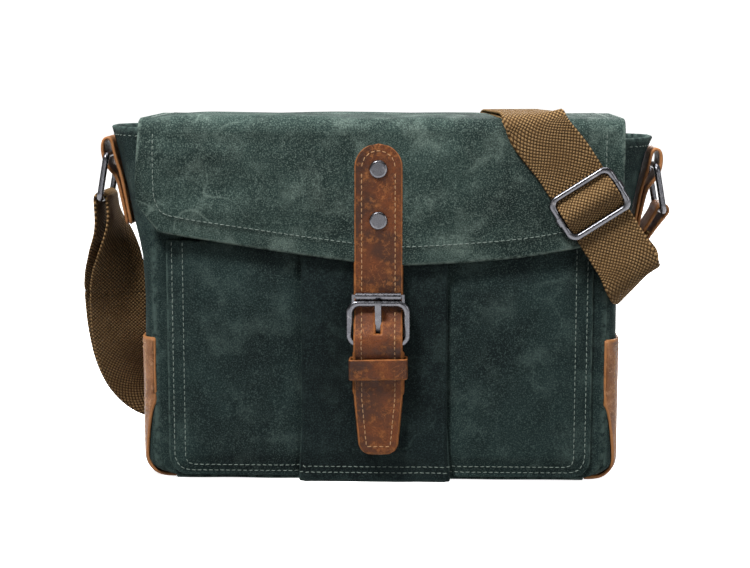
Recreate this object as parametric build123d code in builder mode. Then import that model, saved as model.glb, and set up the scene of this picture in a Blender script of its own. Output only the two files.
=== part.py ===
from build123d import *
import math
import os

# Messenger bag. Millimetres, +Z up, front faces -Y, origin at the centre of the base on the ground.

# ---- driving dimensions ----
WIDTH = 320.0            # across the gussets at the base
BACK_Y = 48.0            # outer face of the back panel
FRONT_Y = -41.5          # outer face of the front panel
RIM_Z = 232.0            # top edge of front panel and lining
BACK_TOP_Z = 236.0       # top edge of the back panel
CANVAS = 2.0             # doubled waxed canvas
LEATHER = 2.3            # harness leather

POCKET_W = 286.0         # front pocket
POCKET_TOP = 164.0
POCKET_GAP = 4.5         # room inside the front pocket
PLEAT_X0 = -52.0         # edges of the box pleat
PLEAT_X1 = 46.0
PLEAT_PROUD = 2.2

SIDE_POCKET_TOP = 97.0   # leather side pockets
CORNER_R = 14.0          # leather wraps under the bottom corner

EAR_X = 185.0            # flared point of each gusset
EAR_FLAT = 16.0          # half width of the flat on the flare, which carries the ring tab
EAR_TOP_LEFT = 239.0
EAR_TOP_RIGHT = 232.0

FLAP_HALF_W = 161.0
FLAP_TOP_Z = 245.0
FLAP_OUTER = 1.8
FLAP_LINING = 1.2
HINGE_Y = 44.0           # line the flap turns on
HINGE_Z = 238.0
FOLD_Y = -46.0           # centre of the flap's front fold
FOLD_R = 8.0
HEM_MID_Z = 150.5        # hem at the closure strap

STRAP_W = 30.8           # closure strap
STRAP_T = 2.4
STRAP_TOP_Z = 230.0
STRAP_JOINT_Z = 150.0
STRAP_Y = -54.0 - STRAP_T / 2
TAIL_END_Z = 22.0

BUCKLE_W = 42.4
BUCKLE_TOP_Z = 124.6     # centre of the top bar
BUCKLE_HEEL_Z = 97.5     # centre of the heel bar
BUCKLE_Y = -59.6
BUCKLE_ROD = 4.2
ROLLER_R = 2.8
ROLLER_Z = 129.4
CHAPE_W = 33.0
CHAPE_Y = -53.6
CHAPE_END_Z = 58.0
SNAP_Z = 66.0
KEEPER_Z = 80.5
KEEPER_H = 13.0

RING_ROD = 4.2
RING_INNER_W = 40.0
RING_DROP = 31.0         # top bar centre to bottom bar centre
RING_TILT = 10.0         # degrees outwards at rest
RING_X = 186.6
RING_Z_LEFT = 220.5
RING_Z_RIGHT = 213.5

WEB_W = 38.0
WEB_T = 1.8
SLIDER_X = 138.5
SLIDER_Z = 191.5
SLIDER_Y = -61.4
SLIDER_LEAN = 32.7       # degrees from vertical of the front run
SLIDER_ROD = 4.2
SLIDER_W = 48.0          # outer length of the slider, across the webbing
SLIDER_H = 33.0          # outer height of the slider, along the webbing

FLAP_FRONT_Y = FOLD_Y - FOLD_R
POCKET_Y = FRONT_Y - POCKET_GAP - CANVAS
PLEAT_Y = POCKET_Y - PLEAT_PROUD
GUSSET_X = WIDTH / 2
BASE_T = LEATHER + 0.1

os.makedirs("parts", exist_ok=True)


def save(part, name):
    """Label one finished piece and write its STEP file."""
    part.label = name
    export_step(part, f"parts/{name}.step")
    print(f"{name:24s} {part.volume:12.1f} mm3")


# ---- bag body ----
def flat_panel(name, x0, x1, y0, y1, z0, z1, corner):
    """Upright canvas panel with rounded bottom corners."""
    with BuildPart() as panel:
        with Locations(((x0 + x1) / 2, (y0 + y1) / 2, (z0 + z1) / 2)):
            Box(x1 - x0, y1 - y0, z1 - z0)
        low = panel.edges().filter_by(Axis.Y).group_by(Axis.Z)[0]
        fillet(low, corner)
    save(panel.part, name)


def gusset_plan(half, depth_y0, depth_y1):
    """Points of the gusset's plan section: outer line, then inner line back."""
    outer = [
        (GUSSET_X, depth_y0),
        (half, -EAR_FLAT),
        (half, EAR_FLAT),
        (GUSSET_X, depth_y1),
    ]
    inner = [(x - CANVAS, y) for x, y in reversed(outer)]
    return outer + inner


def gusset(name, side, ear_top):
    """Side panel: upright below, flared outwards to a blunt ridge at the top."""
    levels = [
        (CORNER_R, GUSSET_X + 0.4),
        (110.0, GUSSET_X + 0.6),
        (150.0, GUSSET_X + 3.4),
        (171.0, 170.0),
        (205.0, 176.4),
        (ear_top, EAR_X),
    ]
    with BuildPart() as panel:
        for z, ridge_x in levels:
            plan = gusset_plan(ridge_x, FRONT_Y + CANVAS, BACK_Y - CANVAS)
            if side < 0:
                plan = [(-x, y) for x, y in reversed(plan)]
            with BuildSketch(Plane.XY.offset(z)):
                with BuildLine():
                    Polyline(*plan, close=True)
                make_face()
        loft(ruled=True)
    save(panel.part, name)


def bottom_panel():
    with BuildPart() as panel:
        with Locations((0, (FRONT_Y + BACK_Y) / 2, BASE_T / 2)):
            Box(2 * (GUSSET_X - CORNER_R - 7), BACK_Y - FRONT_Y, BASE_T)
        fillet(panel.edges().filter_by(Axis.Z), 2)
    save(panel.part, "bottom_panel")


def base_board():
    with BuildPart() as board:
        with Locations((0, (FRONT_Y + BACK_Y) / 2, BASE_T + 0.85)):
            Box(290, BACK_Y - FRONT_Y - 2 * CANVAS - 1, 1.6)
        fillet(board.edges().filter_by(Axis.Z), 6)
    save(board.part, "base_board")


def lining():
    """Open fabric box inside the body."""
    y0 = FRONT_Y + CANVAS + 0.2
    y1 = BACK_Y - CANVAS - 0.2
    with BuildPart() as liner:
        with BuildSketch(Plane.XY.offset(4.4)):
            with Locations((0, (y0 + y1) / 2)):
                Rectangle(2 * (GUSSET_X - CANVAS - 1.2), y1 - y0)
        extrude(amount=RIM_Z - 4.4)
        fillet(liner.edges().filter_by(Axis.Y).group_by(Axis.Z)[0], 11)
        offset(amount=-1.0, openings=liner.faces().sort_by(Axis.Z)[-1])
    save(liner.part, "lining")


def pocket_shell():
    """Front pocket: outer panel plus a 2 mm folded edge left, right and below."""
    z_mid = (POCKET_TOP + 3) / 2
    height = POCKET_TOP - 3
    with BuildPart() as pocket:
        with Locations((0, (FRONT_Y + POCKET_Y) / 2, z_mid)):
            Box(POCKET_W, FRONT_Y - POCKET_Y, height)
        fillet(pocket.edges().filter_by(Axis.Y).group_by(Axis.Z)[0], 13)
        with BuildSketch(Plane.XZ.offset(-FRONT_Y)) as room:
            with Locations((0, z_mid + CANVAS)):
                Rectangle(POCKET_W - 2 * CANVAS, height)
            fillet(room.vertices().group_by(Axis.Y)[0], 11)
        extrude(amount=POCKET_GAP, mode=Mode.SUBTRACT)
    save(pocket.part, "front_pocket")


def pocket_pleat():
    """Box pleat: a proud centre panel whose folded edges lie on the pocket."""
    with BuildPart() as pleat:
        with Locations(((PLEAT_X0 + PLEAT_X1) / 2, (POCKET_Y + PLEAT_Y) / 2, POCKET_TOP / 2)):
            Box(PLEAT_X1 - PLEAT_X0, POCKET_Y - PLEAT_Y, POCKET_TOP)
        folds = pleat.edges().filter_by(Axis.Z).group_by(Axis.Y)[0]
        fillet(folds, 1.0)
        with BuildSketch(Plane.XZ.offset(-PLEAT_Y)):
            with Locations((0, SNAP_Z)):
                Circle(9.2)
        extrude(amount=-1.7, mode=Mode.SUBTRACT)
    save(pleat.part, "pocket_pleat")


def snap_socket():
    """Magnetic snap, female half, let into the pleat."""
    with BuildPart() as socket:
        with BuildSketch(Plane.XZ.offset(-PLEAT_Y - 0.2)):
            with Locations((0, SNAP_Z)):
                Circle(9.0)
        extrude(amount=-1.4)
        with BuildSketch(Plane.XZ.offset(-PLEAT_Y - 0.2)):
            with Locations((0, SNAP_Z)):
                Circle(3.2)
        extrude(amount=-1.0, mode=Mode.SUBTRACT)
    save(socket.part, "snap_socket")


def side_pocket(name, side):
    """Leather over the lower gusset, turned under the bottom corner."""
    face_x = GUSSET_X + 0.7
    out_x = face_x + LEATHER
    centre_x = out_x - CORNER_R
    start_x = centre_x - 6.5
    low = CORNER_R * math.sin(math.radians(45))
    inner_r = CORNER_R - LEATHER
    inner = inner_r * math.sin(math.radians(45))
    with BuildPart() as pocket:
        with BuildSketch(Plane.XZ.offset(-BACK_Y + 0.4)):
            with BuildLine():
                Line((side * out_x, SIDE_POCKET_TOP), (side * out_x, CORNER_R))
                ThreePointArc(
                    (side * out_x, CORNER_R),
                    (side * (centre_x + low), CORNER_R - low),
                    (side * centre_x, 0),
                )
                Line((side * centre_x, 0), (side * start_x, 0))
                Line((side * start_x, 0), (side * start_x, LEATHER))
                Line((side * start_x, LEATHER), (side * centre_x, LEATHER))
                ThreePointArc(
                    (side * centre_x, LEATHER),
                    (side * (centre_x + inner), CORNER_R - inner),
                    (side * face_x, CORNER_R),
                )
                Line((side * face_x, CORNER_R), (side * face_x, SIDE_POCKET_TOP))
                Line((side * face_x, SIDE_POCKET_TOP), (side * out_x, SIDE_POCKET_TOP))
            make_face()
        extrude(amount=BACK_Y - FRONT_Y - 0.8)
    save(pocket.part, name)


# ---- ring tabs and rings ----
def unit(vector):
    return vector * (1 / vector.length)


def ribbon(stations, width, thick, before=None, after=None):
    """Flat strip through stations, each a centre point and the direction of its width.

    before and after are the neighbouring points, where the strip goes on in another piece.
    """
    points = [Vector(*p) for p, _ in stations]
    line = [Vector(*before)] if before else [points[0]]
    line += points
    line += [Vector(*after)] if after else [points[-1]]
    with BuildPart() as strip:
        for i, (_, across) in enumerate(stations):
            along = unit(line[i + 2] - line[i])
            wide = Vector(*across)
            wide = unit(wide - along * wide.dot(along))
            with BuildSketch(Plane(origin=points[i], x_dir=wide, z_dir=along)):
                Rectangle(width, thick)
        loft(ruled=True)
    return strip.part


def arc_stations(cx, cz, r, start_deg, end_deg, steps, across):
    """Stations round a bar that runs along Y."""
    angles = [start_deg + (end_deg - start_deg) * i / steps for i in range(steps + 1)]
    return [
        ((cx + r * math.cos(math.radians(a)), 0, cz + r * math.sin(math.radians(a))), across)
        for a in angles
    ]


def strip_outline(line, thick):
    """Closed outline of a strip seen edge on, from the points of its middle line."""
    points = [Vector(x, 0, z) for x, z in line]
    last = len(points) - 1
    sides = []
    for sign in (1, -1):
        side = []
        for i, point in enumerate(points):
            along = unit(points[min(i + 1, last)] - points[max(i - 1, 0)])
            shifted_point = point + Vector(along.Z, 0, -along.X) * (sign * thick / 2)
            side.append((shifted_point.X, shifted_point.Z))
        sides.append(side)
    return sides[0] + sides[1][::-1]


def folded_strip(line, thick, width):
    """Leather strip folded in the XZ plane, centred on Y."""
    with BuildPart() as strip:
        with BuildSketch(Plane.XZ.offset(-width / 2)):
            with BuildLine():
                Polyline(*strip_outline(line, thick), close=True)
            make_face()
        extrude(amount=width)
    return strip.part


def ring_tab(name, side, ring_z):
    """Leather strip folded through the ring and riveted to the gusset's ridge."""
    drop = ring_z - RING_Z_LEFT
    inner = [(171.9, 173), (174.8, 189), (177.8, 205), (180.6, 214), (182.7, 222)]
    loop = [(183.8, 228.0), (185.3, 231.0), (187.6, 231.8), (189.6, 230.4), (190.8, 227.0)]
    outer = [(190.8, 221), (189.0, 214.5), (185.4, 209.5), (180.9, 204.5), (177.6, 189), (174.6, 173)]
    with BuildPart() as tab:
        add(folded_strip([(side * x, z + drop) for x, z in inner + loop + outer], LEATHER - 0.1, 30))
        with BuildSketch(Plane.YZ):
            with Locations((0, 191.0 + drop)):
                Circle(1.7)
        extrude(amount=side * 200, mode=Mode.SUBTRACT)
    save(tab.part, name)


def rivet(centre, direction, head_r, head_h, shank_r, shank_l):
    """Domed head with a shank, head facing along direction."""
    place = Plane(origin=centre, z_dir=direction)
    with BuildPart() as pin:
        with BuildSketch(place.offset(-shank_l)):
            Circle(shank_r)
        extrude(amount=shank_l)
        with BuildSketch(place):
            Circle(head_r)
        extrude(amount=head_h)
        rims = pin.edges().filter_by(GeomType.CIRCLE)
        top = rims.sort_by(lambda edge: place.to_local_coords(edge.center()).Z)[-1]
        fillet(top, head_h * 0.8)
    return pin.part


def rod_frame(place, width, height, rod, corner):
    """Closed rectangular loop of round rod, width along the plane's X."""
    with BuildPart() as loop:
        with BuildSketch(place):
            RectangleRounded(width, height, corner)
            RectangleRounded(width - 2 * rod, height - 2 * rod, corner - rod * 0.75, mode=Mode.SUBTRACT)
        extrude(amount=rod / 2, both=True)
        rims = loop.edges().filter_by(lambda edge: abs(place.to_local_coords(edge.center()).Z) > rod * 0.4)
        fillet(rims, rod * 0.47)
    return loop.part


def ring_plane(side, ring_z):
    """Plane through the ring's centre, X along the bars, Y up the ring."""
    tilt = math.radians(RING_TILT)
    down = Vector(side * math.sin(tilt), 0, -math.cos(tilt))
    centre = Vector(side * RING_X, 0, ring_z) + down * (RING_DROP / 2)
    return Plane(origin=centre, x_dir=(0, 1, 0), z_dir=Vector(0, 1, 0).cross(down * -1))


def ring(name, side, ring_z):
    outer_w = RING_INNER_W + 2 * RING_ROD
    part = rod_frame(ring_plane(side, ring_z), outer_w, RING_DROP + RING_ROD, RING_ROD, 6.0)
    save(part, name)


# ---- flap ----
def flap_layer(name, r_out, thick, low_z):
    """One layer of the flap: flat top, rounded front fold and hanging front, cut to the hem line."""
    fold_z = FLAP_TOP_Z - FOLD_R
    r_in = r_out - thick
    diag_out = r_out * math.sin(math.radians(45))
    diag_in = r_in * math.sin(math.radians(45))
    with BuildPart() as layer:
        with BuildSketch(Plane.YZ.offset(-FLAP_HALF_W)):
            with BuildLine():
                Line((HINGE_Y, fold_z + r_out), (FOLD_Y, fold_z + r_out))
                ThreePointArc(
                    (FOLD_Y, fold_z + r_out),
                    (FOLD_Y - diag_out, fold_z + diag_out),
                    (FOLD_Y - r_out, fold_z),
                )
                Line((FOLD_Y - r_out, fold_z), (FOLD_Y - r_out, 140))
                Line((FOLD_Y - r_out, 140), (FOLD_Y - r_in, 140))
                Line((FOLD_Y - r_in, 140), (FOLD_Y - r_in, fold_z))
                ThreePointArc(
                    (FOLD_Y - r_in, fold_z),
                    (FOLD_Y - diag_in, fold_z + diag_in),
                    (FOLD_Y, fold_z + r_in),
                )
                Line((FOLD_Y, fold_z + r_in), (HINGE_Y, fold_z + r_in))
                Line((HINGE_Y, fold_z + r_in), (HINGE_Y, fold_z + r_out))
            make_face()
        extrude(amount=2 * FLAP_HALF_W)
        with BuildSketch(Plane.XZ.offset(40)):
            with BuildLine():
                Polyline(
                    (-FLAP_HALF_W - 5, 205),
                    (-FLAP_HALF_W, 205),
                    (-158, 190),
                    (-146, 172),
                    (-93, low_z + 12.5),
                )
                Spline(
                    (-93, low_z + 12.5),
                    (-45, low_z + 5.6),
                    (0, low_z + 0.2),
                    (32, low_z + 0.2),
                    (93, low_z + 5.0),
                )
                Polyline(
                    (93, low_z + 5.0),
                    (146, 166),
                    (158, 182),
                    (FLAP_HALF_W, 198),
                    (FLAP_HALF_W + 5, 198),
                    (FLAP_HALF_W + 5, 130),
                    (-FLAP_HALF_W - 5, 130),
                    (-FLAP_HALF_W - 5, 205),
                )
            make_face()
        extrude(amount=20, mode=Mode.SUBTRACT)
    save(layer.part, name)


def flap_back():
    """Seam strip sewn down the back panel, and the soft fold that leads to the flap."""
    with BuildPart() as seam:
        with Locations((0, BACK_Y + 1.0, (HINGE_Z - 2 + 204) / 2)):
            Box(2 * FLAP_HALF_W - 6, 2.0, HINGE_Z - 2 - 204)
    save(seam.part, "flap_seam_strip")
    with BuildPart() as fold:
        with BuildSketch(Plane.YZ.offset(-FLAP_HALF_W + 3)):
            with BuildLine():
                CenterArc((HINGE_Y, HINGE_Z), 7.0, -14, 104)
                CenterArc((HINGE_Y, HINGE_Z), 4.2, -14, 104)
                start = 7.0 * math.cos(math.radians(14)), -7.0 * math.sin(math.radians(14))
                inner = 4.2 * math.cos(math.radians(14)), -4.2 * math.sin(math.radians(14))
                Line((HINGE_Y + start[0], HINGE_Z + start[1]), (HINGE_Y + inner[0], HINGE_Z + inner[1]))
                Line((HINGE_Y, HINGE_Z + 7.0), (HINGE_Y, HINGE_Z + 4.2))
            make_face()
        extrude(amount=2 * FLAP_HALF_W - 6)
    save(fold.part, "flap_hinge_fold")


# ---- closure strap ----
def closure_strap_upper():
    """Leather strap sewn and riveted to the flap, rounded at the top."""
    straight = STRAP_TOP_Z - STRAP_W / 2
    with BuildPart() as strap:
        with BuildSketch(Plane.XZ.offset(-FLAP_FRONT_Y)):
            with Locations((0, (straight + STRAP_JOINT_Z) / 2)):
                Rectangle(STRAP_W, straight - STRAP_JOINT_Z)
            with Locations((0, straight)):
                Circle(STRAP_W / 2)
        extrude(amount=STRAP_T)
        fillet(strap.faces().sort_by(Axis.Y)[0].edges(), 0.6)
        with BuildSketch(Plane.XZ.offset(-FLAP_FRONT_Y)):
            with Locations((0, 213.5), (0, 179.5)):
                Circle(2.2)
        extrude(amount=STRAP_T, mode=Mode.SUBTRACT)
    save(strap.part, "closure_strap_upper")


def closure_rivets():
    heads = [
        rivet((0, FLAP_FRONT_Y - STRAP_T, z), (0, -1, 0), 6.0, 1.8, 2.1, STRAP_T)
        for z in (213.5, 179.5)
    ]
    save(Compound(children=heads), "closure_rivets")


def strap_line():
    """Side line of the lower strap: behind the top bar, then out over the heel bar."""
    return [
        (STRAP_Y, STRAP_JOINT_Z - 0.3),
        (STRAP_Y - 0.1, 134),
        (STRAP_Y - 0.5, 122),
        (-60.2, 111),
        (-64.8, 101.5),
        (-64.5, 95.2),
        (-60.6, 88.6),
        (-58.4, 81),
        (-57.2, 66),
        (-56.9, 44),
        (-56.6, TAIL_END_Z),
    ]


def closure_strap_lower():
    """Tail of the closure strap, threaded through the buckle, with the prong's slot."""
    with BuildPart() as strap:
        with BuildSketch(Plane.YZ.offset(-STRAP_W / 2)):
            with BuildLine():
                Spline(*strap_line(), tangents=((0, -1), (0.05, -1)))
            trace(line_width=STRAP_T)
        extrude(amount=STRAP_W)
        with BuildSketch(Plane.XZ.offset(90)) as tail:
            with BuildLine():
                Polyline(
                    (-STRAP_W / 2 - 2, 60),
                    (-STRAP_W / 2 - 2, 10),
                    (STRAP_W / 2 + 2, 10),
                    (STRAP_W / 2 + 2, 60),
                    (STRAP_W / 2, 60),
                    (12.6, TAIL_END_Z + 6),
                    (8, TAIL_END_Z + 0.5),
                    (-8, TAIL_END_Z + 0.5),
                    (-12.6, TAIL_END_Z + 6),
                    (-STRAP_W / 2, 60),
                    close=True,
                )
            make_face()
        extrude(amount=-60, mode=Mode.SUBTRACT)
        with BuildSketch(Plane.XZ.offset(90)):
            with Locations((0, 111)):
                SlotOverall(19, 5.0, rotation=90)
        extrude(amount=-60, mode=Mode.SUBTRACT)
    save(strap.part, "closure_strap_lower")


def chape():
    """Leather backing folded round the heel bar, under the tail."""
    loop_r = BUCKLE_ROD / 2 + 0.3
    with BuildPart() as back:
        with Locations((0, CHAPE_Y, (CHAPE_END_Z + BUCKLE_HEEL_Z - 3) / 2)):
            Box(CHAPE_W, LEATHER, BUCKLE_HEEL_Z - 3 - CHAPE_END_Z)
        with BuildSketch(Plane.YZ.offset(-CHAPE_W / 2 + 3)):
            with BuildLine():
                Spline(
                    (CHAPE_Y, BUCKLE_HEEL_Z - 4),
                    (CHAPE_Y - 0.2, BUCKLE_HEEL_Z + 0.5),
                    (BUCKLE_Y + 2.2, BUCKLE_HEEL_Z + 3.1),
                )
            trace(line_width=LEATHER)
        extrude(amount=CHAPE_W - 6)
        with Locations((0, CHAPE_Y, BUCKLE_HEEL_Z)):
            Box(6.4, 12, 12, mode=Mode.SUBTRACT)
        with Locations((0, BUCKLE_Y, BUCKLE_HEEL_Z)):
            Cylinder(loop_r, 60, rotation=(0, 90, 0), mode=Mode.SUBTRACT)
    save(back.part, "chape")


def snap_stud():
    """Magnetic snap, male half, on the back of the chape."""
    plate_y = CHAPE_Y + LEATHER / 2
    with BuildPart() as stud:
        with BuildSketch(Plane.XZ.offset(-plate_y)):
            with Locations((0, SNAP_Z)):
                Circle(7.4)
        extrude(amount=-1.2)
        with BuildSketch(Plane.XZ.offset(-plate_y - 1.2)):
            with Locations((0, SNAP_Z)):
                Circle(1.9)
        extrude(amount=-1.6)
    save(stud.part, "snap_stud")


def buckle_frame():
    """Rounded rod frame with a second, thinner bar above the top bar for the roller."""
    mid_z = (BUCKLE_TOP_Z + BUCKLE_HEEL_Z) / 2
    place = Plane(origin=(0, BUCKLE_Y, mid_z), x_dir=(1, 0, 0), z_dir=(0, -1, 0))
    height = BUCKLE_TOP_Z - BUCKLE_HEEL_Z + BUCKLE_ROD
    body = rod_frame(place, BUCKLE_W, height, BUCKLE_ROD, 8.0)
    with BuildPart() as frame:
        add(body)
        with Locations((0, BUCKLE_Y, ROLLER_Z)):
            Cylinder(1.2, 35, rotation=(0, 90, 0))
        for x in (-16.6, 16.6):
            with Locations((x, BUCKLE_Y, (ROLLER_Z + BUCKLE_TOP_Z) / 2)):
                Box(1.8, 2.6, ROLLER_Z - BUCKLE_TOP_Z + 2.4)
    save(frame.part, "buckle_frame")


def buckle_roller():
    with BuildPart() as roller:
        with Locations((0, BUCKLE_Y, ROLLER_Z)):
            Cylinder(ROLLER_R - 0.35, 30, rotation=(0, 90, 0))
            Cylinder(1.26, 40, rotation=(0, 90, 0), mode=Mode.SUBTRACT)
    save(roller.part, "buckle_roller")


def buckle_prong():
    """Flattened wire hooked on the heel bar, through the strap and over the top bar."""
    eye = BUCKLE_ROD / 2 + 0.15
    with BuildPart() as prong:
        with BuildSketch(Plane.YZ.offset(-2.0)):
            with Locations((BUCKLE_Y, BUCKLE_HEEL_Z)):
                Circle(eye + 1.6)
            with BuildLine():
                Spline(
                    (BUCKLE_Y + 2.6, BUCKLE_HEEL_Z + 2.6),
                    (BUCKLE_Y + 1.2, 107),
                    (-60.6, 115.5),
                    (-63.5, 121.5),
                    (-63.9, 126.8),
                )
            trace(line_width=3.2)
            with Locations((BUCKLE_Y, BUCKLE_HEEL_Z)):
                Circle(eye, mode=Mode.SUBTRACT)
        extrude(amount=4.0)
    save(prong.part, "buckle_prong")


def keeper():
    """Leather loop round tail and chape, slightly tilted."""
    y_back = CHAPE_Y + LEATHER / 2 + 0.4
    y_front = -62.8
    with BuildPart() as loop:
        with BuildSketch(Plane(origin=(0, 0, KEEPER_Z - KEEPER_H / 2))):
            with Locations((0, (y_back + y_front) / 2)):
                RectangleRounded(CHAPE_W + 1.2 + 2 * 1.4, y_back - y_front + 2 * 1.4, 2.0)
                RectangleRounded(CHAPE_W + 1.2, y_back - y_front, 0.8, mode=Mode.SUBTRACT)
        extrude(amount=KEEPER_H)
    save(loop.part, "keeper")


# ---- shoulder strap ----
def band(name, stations, before=None, after=None):
    """One stretch of webbing; prints its length and how well the solid keeps its section."""
    web = ribbon(stations, WEB_W, WEB_T, before, after)
    points = [Vector(*p) for p, _ in stations]
    length = sum((b - a).length for a, b in zip(points, points[1:]))
    save(web, name)
    fullness = web.volume / (length * WEB_W * WEB_T)
    print(f"    length {length:6.1f} mm, volume over section times length {fullness:5.3f}")
    return length


def front_point(along, y):
    """Point on the front run, measured along the webbing from the slider's centre."""
    lean = math.radians(SLIDER_LEAN)
    return (SLIDER_X - along * math.sin(lean), y, SLIDER_Z + along * math.cos(lean))


FRONT_ACROSS = (math.cos(math.radians(SLIDER_LEAN)), 0, math.sin(math.radians(SLIDER_LEAN)))
TOP_ACROSS = (0.98, 0.16, 0)

# Outer run and return run lie this far apart on the front, the top and the back.
LAYER = 2.4

# Unit vectors of the leather strap end: down its length, and out of its outer face.
END_DOWN = Vector(-0.5, 0, -0.866)
END_OUT = Vector(0.866, 0, -0.5)
END_START = (182.4, 0, 168.4)

END_RUN = [
    (END_START, (0, -1, 0)),
    ((177.6, 0, 160.1), (0, -1, 0)),
    ((176.3, -0.4, 156.6), (0, -1, 0)),
    ((176.0, -5, 151.0), (0.1, -0.95, 0.3)),
    ((176.8, -13.5, 146.5), (0.3, -0.7, 0.6)),
    ((177.4, -24, 141.5), (0.5, -0.3, 0.8)),
    ((175.0, -37, 138), (0.6, -0.2, 0.75)),
    ((171.0, -49, 136.5), (0.66, -0.1, 0.7)),
    ((168.6, -57.5, 140.5), (0.8, 0, 0.58)),
    (front_point(-48, -60.8), FRONT_ACROSS),
    (front_point(-38, -60.2), FRONT_ACROSS),
    (front_point(-26, -57.9), FRONT_ACROSS),
]

FRONT_RUN = [
    (front_point(-26, -57.9), FRONT_ACROSS),
    (front_point(-16.5, -57.6), FRONT_ACROSS),
    (front_point(-10.5, -58.6), FRONT_ACROSS),
    (front_point(-6, -62.6), FRONT_ACROSS),
    (front_point(-2.5, -65.6), FRONT_ACROSS),
    (front_point(2.5, -65.6), FRONT_ACROSS),
    (front_point(6, -62.6), FRONT_ACROSS),
    (front_point(10.5, -58.8), FRONT_ACROSS),
    (front_point(16.5, -57.7), FRONT_ACROSS),
    (front_point(34, -57.8), FRONT_ACROSS),
    ((105.5, -58.3, 237), (0.9, 0, 0.4)),
    ((102.0, -56.5, 247.6), (0.95, 0.06, 0.2)),
    ((99.5, -46, 250.0), TOP_ACROSS),
    ((97.0, -24, 249.8), TOP_ACROSS),
    ((94.5, 6, 249.2), TOP_ACROSS),
    ((92.0, 30, 248.9), TOP_ACROSS),
    ((90.8, HINGE_Y, 248.9), TOP_ACROSS),
]

BACK_RUN = [
    ((90.8, HINGE_Y, 248.9), TOP_ACROSS),
    ((89.8, 52.3, 246.2), (0.98, 0.1, -0.1)),
    ((88.0, 55.5, 238), (0.95, 0, -0.3)),
    ((80.0, 55.5, 221), (0.86, 0, -0.5)),
    ((61.0, 55.6, 196), (0.74, 0, -0.67)),
    ((31.0, 55.6, 166), (0.7, 0, -0.72)),
    ((-4.0, 56.0, 134), (0.67, 0, -0.74)),
    ((-42.0, 56.4, 101), (0.64, 0, -0.77)),
    ((-80.0, 56.8, 71), (0.58, 0, -0.81)),
    ((-112.0, 57.2, 50), (0.42, 0, -0.9)),
    ((-140.0, 57.6, 40), (0.2, 0, -0.98)),
]

LEFT_OUTER = [
    ((-140.0, 57.6, 40), (0.2, 0, -0.98)),
    ((-163.0, 56.8, 38.5), (-0.1, 0, -1)),
    ((-181.0, 51.0, 47), (-0.55, 0, -0.83)),
    ((-190.5, 43.0, 66), (-0.88, 0, -0.47)),
    ((-194.5, 34.0, 92), (-1, 0, 0)),
    ((-194.0, 26.0, 118), (-1, -0.12, 0)),
    ((-193.0, 19.0, 142), (-0.8, -0.6, 0)),
    ((-194.5, 9.5, 162), (-0.4, -0.9, 0)),
    ((-196.0, 2.0, 178), (0, -1, 0)),
]

LEFT_RETURN = [
    ((-140.0, 57.6 - LAYER, 40), (0.2, 0, -0.98)),
    ((-161.0, 54.6, 38), (-0.1, 0, -1)),
    ((-177.0, 45.0, 46), (-0.55, 0, -0.83)),
    ((-186.5, 34.0, 64), (-0.88, 0, -0.47)),
    ((-189.0, 21.0, 90), (-1, 0, 0)),
    ((-187.5, 12.0, 116), (-1, -0.12, 0)),
    ((-185.5, 6.5, 140), (-0.8, -0.6, 0)),
    ((-184.8, 2.5, 160), (-0.4, -0.9, 0)),
    ((-186.6, 0.5, 177), (0, -1, 0)),
]


def ring_wrap(start_deg, end_deg):
    """Stations of webbing round the left ring's bottom bar, from one side to the top."""
    tilt = math.radians(RING_TILT)
    cx = -RING_X - RING_DROP * math.sin(tilt)
    cz = RING_Z_LEFT - RING_DROP * math.cos(tilt)
    r = RING_ROD / 2 + 0.65 + WEB_T / 2
    return arc_stations(cx, cz, r, start_deg, end_deg, 4, (0, -1, 0))


def shifted(stations, dy=0.0, dz=0.0):
    """The same stations moved towards the bag, for the return run."""
    return [((x, y + dy, z + dz), across) for (x, y, z), across in stations]


def return_over_flap():
    """Return run from the slider's bar up the flap and over its top."""
    low = [
        (front_point(5.6, -58.6), FRONT_ACROSS),
        (front_point(11, -56.0), FRONT_ACROSS),
        (front_point(19, -55.4), FRONT_ACROSS),
        (front_point(34, -55.3), FRONT_ACROSS),
    ]
    high = [
        ((105.5, -55.7, 237), (0.9, 0, 0.4)),
        ((102.0, -53.7, 244.7), (0.95, 0.06, 0.2)),
        ((99.5, -46, 246.6), TOP_ACROSS),
        ((97.0, -24, 246.8), TOP_ACROSS),
        ((94.5, 6, 246.7), TOP_ACROSS),
        ((92.0, 30, 246.4), TOP_ACROSS),
        ((90.8, HINGE_Y, 246.4), TOP_ACROSS),
    ]
    return low + high


def webbing():
    back_return = [
        ((90.8, HINGE_Y, 246.4), TOP_ACROSS),
        ((89.8, 50.5, 244.4), (0.98, 0.1, -0.1)),
        ((88.0, 53.0, 238), (0.95, 0, -0.3)),
    ] + shifted(BACK_RUN[3:], dy=-LAYER)
    front_return = return_over_flap()
    outer = band("webbing_end", END_RUN, after=FRONT_RUN[1][0])
    outer += band("webbing_front", FRONT_RUN, before=END_RUN[-2][0], after=BACK_RUN[1][0])
    back = BACK_RUN + LEFT_OUTER[1:] + ring_wrap(180, 97)
    outer += band("webbing_back", back, before=FRONT_RUN[-2][0])
    inner = band("webbing_front_return", front_return, after=back_return[1][0])
    back_return += LEFT_RETURN[1:] + ring_wrap(0, 83)
    inner += band("webbing_back_return", back_return, before=front_return[-2][0])
    print(f"    webbing in all {outer + inner:6.0f} mm")


def slider_plane():
    lean = math.radians(SLIDER_LEAN)
    return Plane(
        origin=(SLIDER_X, SLIDER_Y, SLIDER_Z),
        x_dir=(math.cos(lean), 0, math.sin(lean)),
        z_dir=(0, -1, 0),
    )


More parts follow.
